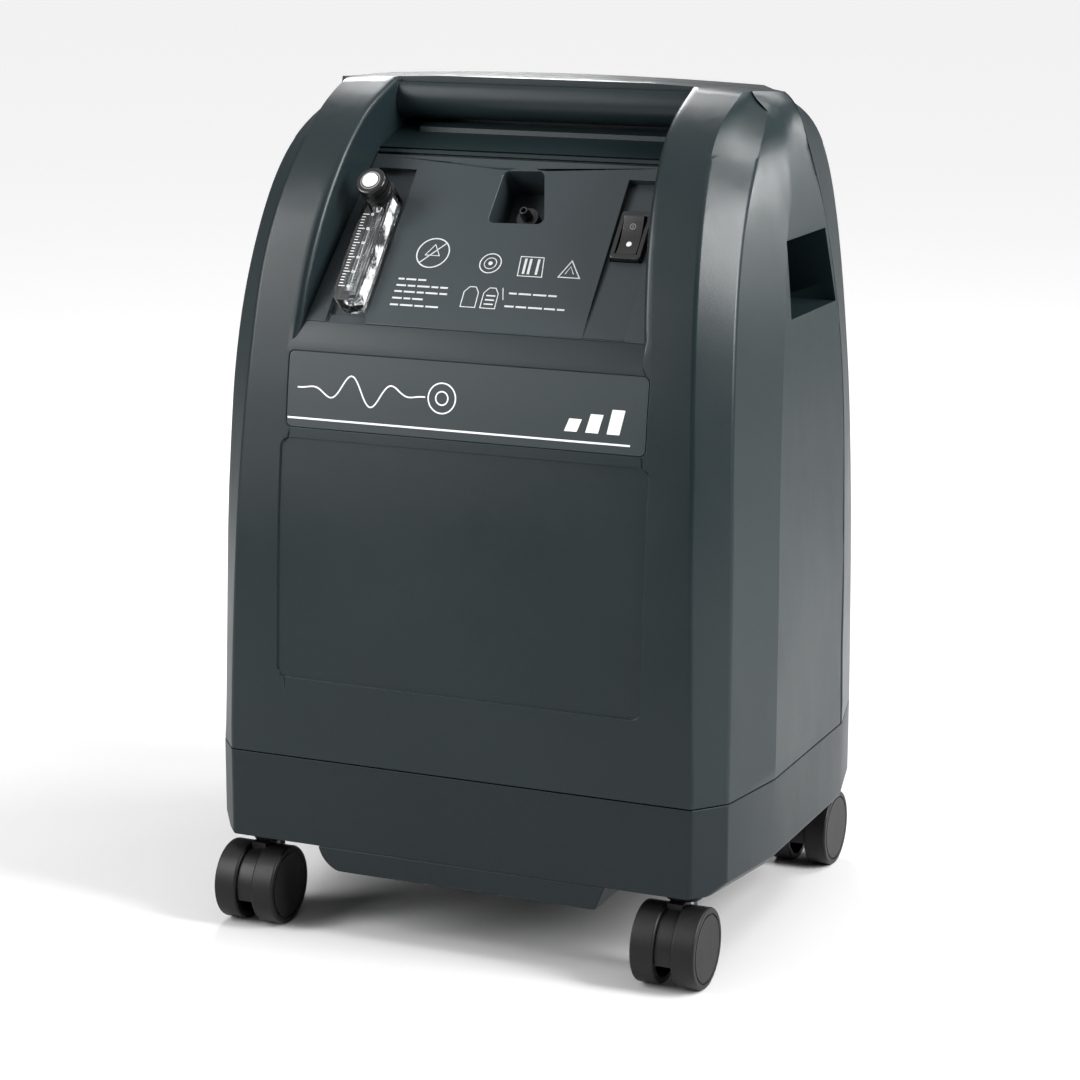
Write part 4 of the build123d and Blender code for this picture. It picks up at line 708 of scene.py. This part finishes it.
def studio_world():
    """Bright overhead and behind the object, dimmer on the camera's side."""
    world = bpy.data.worlds.new("studio")
    bpy.context.scene.world = world
    world.use_nodes = True
    tree = world.node_tree
    direction = tree.nodes.new("ShaderNodeTexCoord").outputs["Generated"]
    split = tree.nodes.new("ShaderNodeSeparateXYZ")
    tree.links.new(direction, split.inputs[0])

    def span(value, start, end, low, high):
        node = tree.nodes.new("ShaderNodeMapRange")
        node.interpolation_type = "SMOOTHSTEP"
        for socket, number in zip(("From Min", "From Max", "To Min", "To Max"), (start, end, low, high)):
            node.inputs[socket].default_value = number
        tree.links.new(value, node.inputs["Value"])
        return node.outputs["Result"]

    overhead = span(split.outputs["Z"], 0.35, 1.0, 0.0, 0.95)
    behind = span(split.outputs["Y"], -0.6, 0.9, 0.06, 0.13)
    total = tree.nodes.new("ShaderNodeMath")
    tree.links.new(overhead, total.inputs[0])
    tree.links.new(behind, total.inputs[1])
    seen = tree.nodes.new("ShaderNodeMix")
    tree.links.new(tree.nodes.new("ShaderNodeLightPath").outputs["Is Camera Ray"], seen.inputs["Factor"])
    tree.links.new(total.outputs[0], seen.inputs["A"])
    seen.inputs["B"].default_value = BACKDROP
    tree.links.new(seen.outputs["Result"], tree.nodes["Background"].inputs["Strength"])
    tree.nodes["Background"].inputs["Color"].default_value = (1, 1, 1, 1)


def softbox(name, place, aim, size, power):
    """Area light at place, turned to aim; metres and watts."""
    lamp = bpy.data.lights.new(name, "AREA")
    lamp.shape = "RECTANGLE"
    lamp.size, lamp.size_y = size
    lamp.energy = power
    thing = bpy.data.objects.new(name, lamp)
    bpy.context.scene.collection.objects.link(thing)
    thing.location = place
    thing.rotation_euler = (Vector(aim) - Vector(place)).to_track_quat("-Z", "Y").to_euler()


FOCAL = 99.67                     # millimetres on a 36 mm wide sensor
CAMERA_PLACE = Vector((0.73697, MIDDLE_Y - 1.72332, 0.66463))
CAMERA_AIM = Vector((-0.00654, MIDDLE_Y, 0.23177))
CAMERA_ROLL = math.radians(0.19)


def camera():
    """The camera solved from the straight edges of the object and its casters."""
    lens = bpy.data.cameras.new("camera")
    lens.sensor_width = 36.0
    lens.lens = FOCAL
    thing = bpy.data.objects.new("camera", lens)
    bpy.context.scene.collection.objects.link(thing)
    thing.location = CAMERA_PLACE
    look = (CAMERA_AIM - CAMERA_PLACE).to_track_quat("-Z", "Y")
    thing.rotation_euler = (look @ Matrix.Rotation(CAMERA_ROLL, 4, "Z").to_quaternion()).to_euler()
    bpy.context.scene.camera = thing


floor()
studio_world()
softbox("softbox_right", (1.60, -0.15, 1.12), (0.1, -0.05, 0.42), (0.55, 1.1), 62)
softbox("softbox_right_top", (0.95, 0.55, 1.75), (0.1, 0, 0.5), (0.5, 0.5), 13)
softbox("softbox_left", (-1.0, -0.95, 0.95), (-0.12, -0.1, 0.40), (0.5, 1.0), 24)
softbox("softbox_left_low", (-0.75, -1.50, 0.72), (-0.1, -0.1, 0.40), (0.3, 0.9), 5)
softbox("softbox_back_left", (-0.8, 1.4, 1.45), (0, 0, 0.48), (0.5, 0.5), 20)
softbox("softbox_back", (1.45, 2.0, 0.68), (0.14, 0, 0.46), (0.45, 0.45), 10)
camera()
bpy.context.scene.view_settings.view_transform = "Standard"
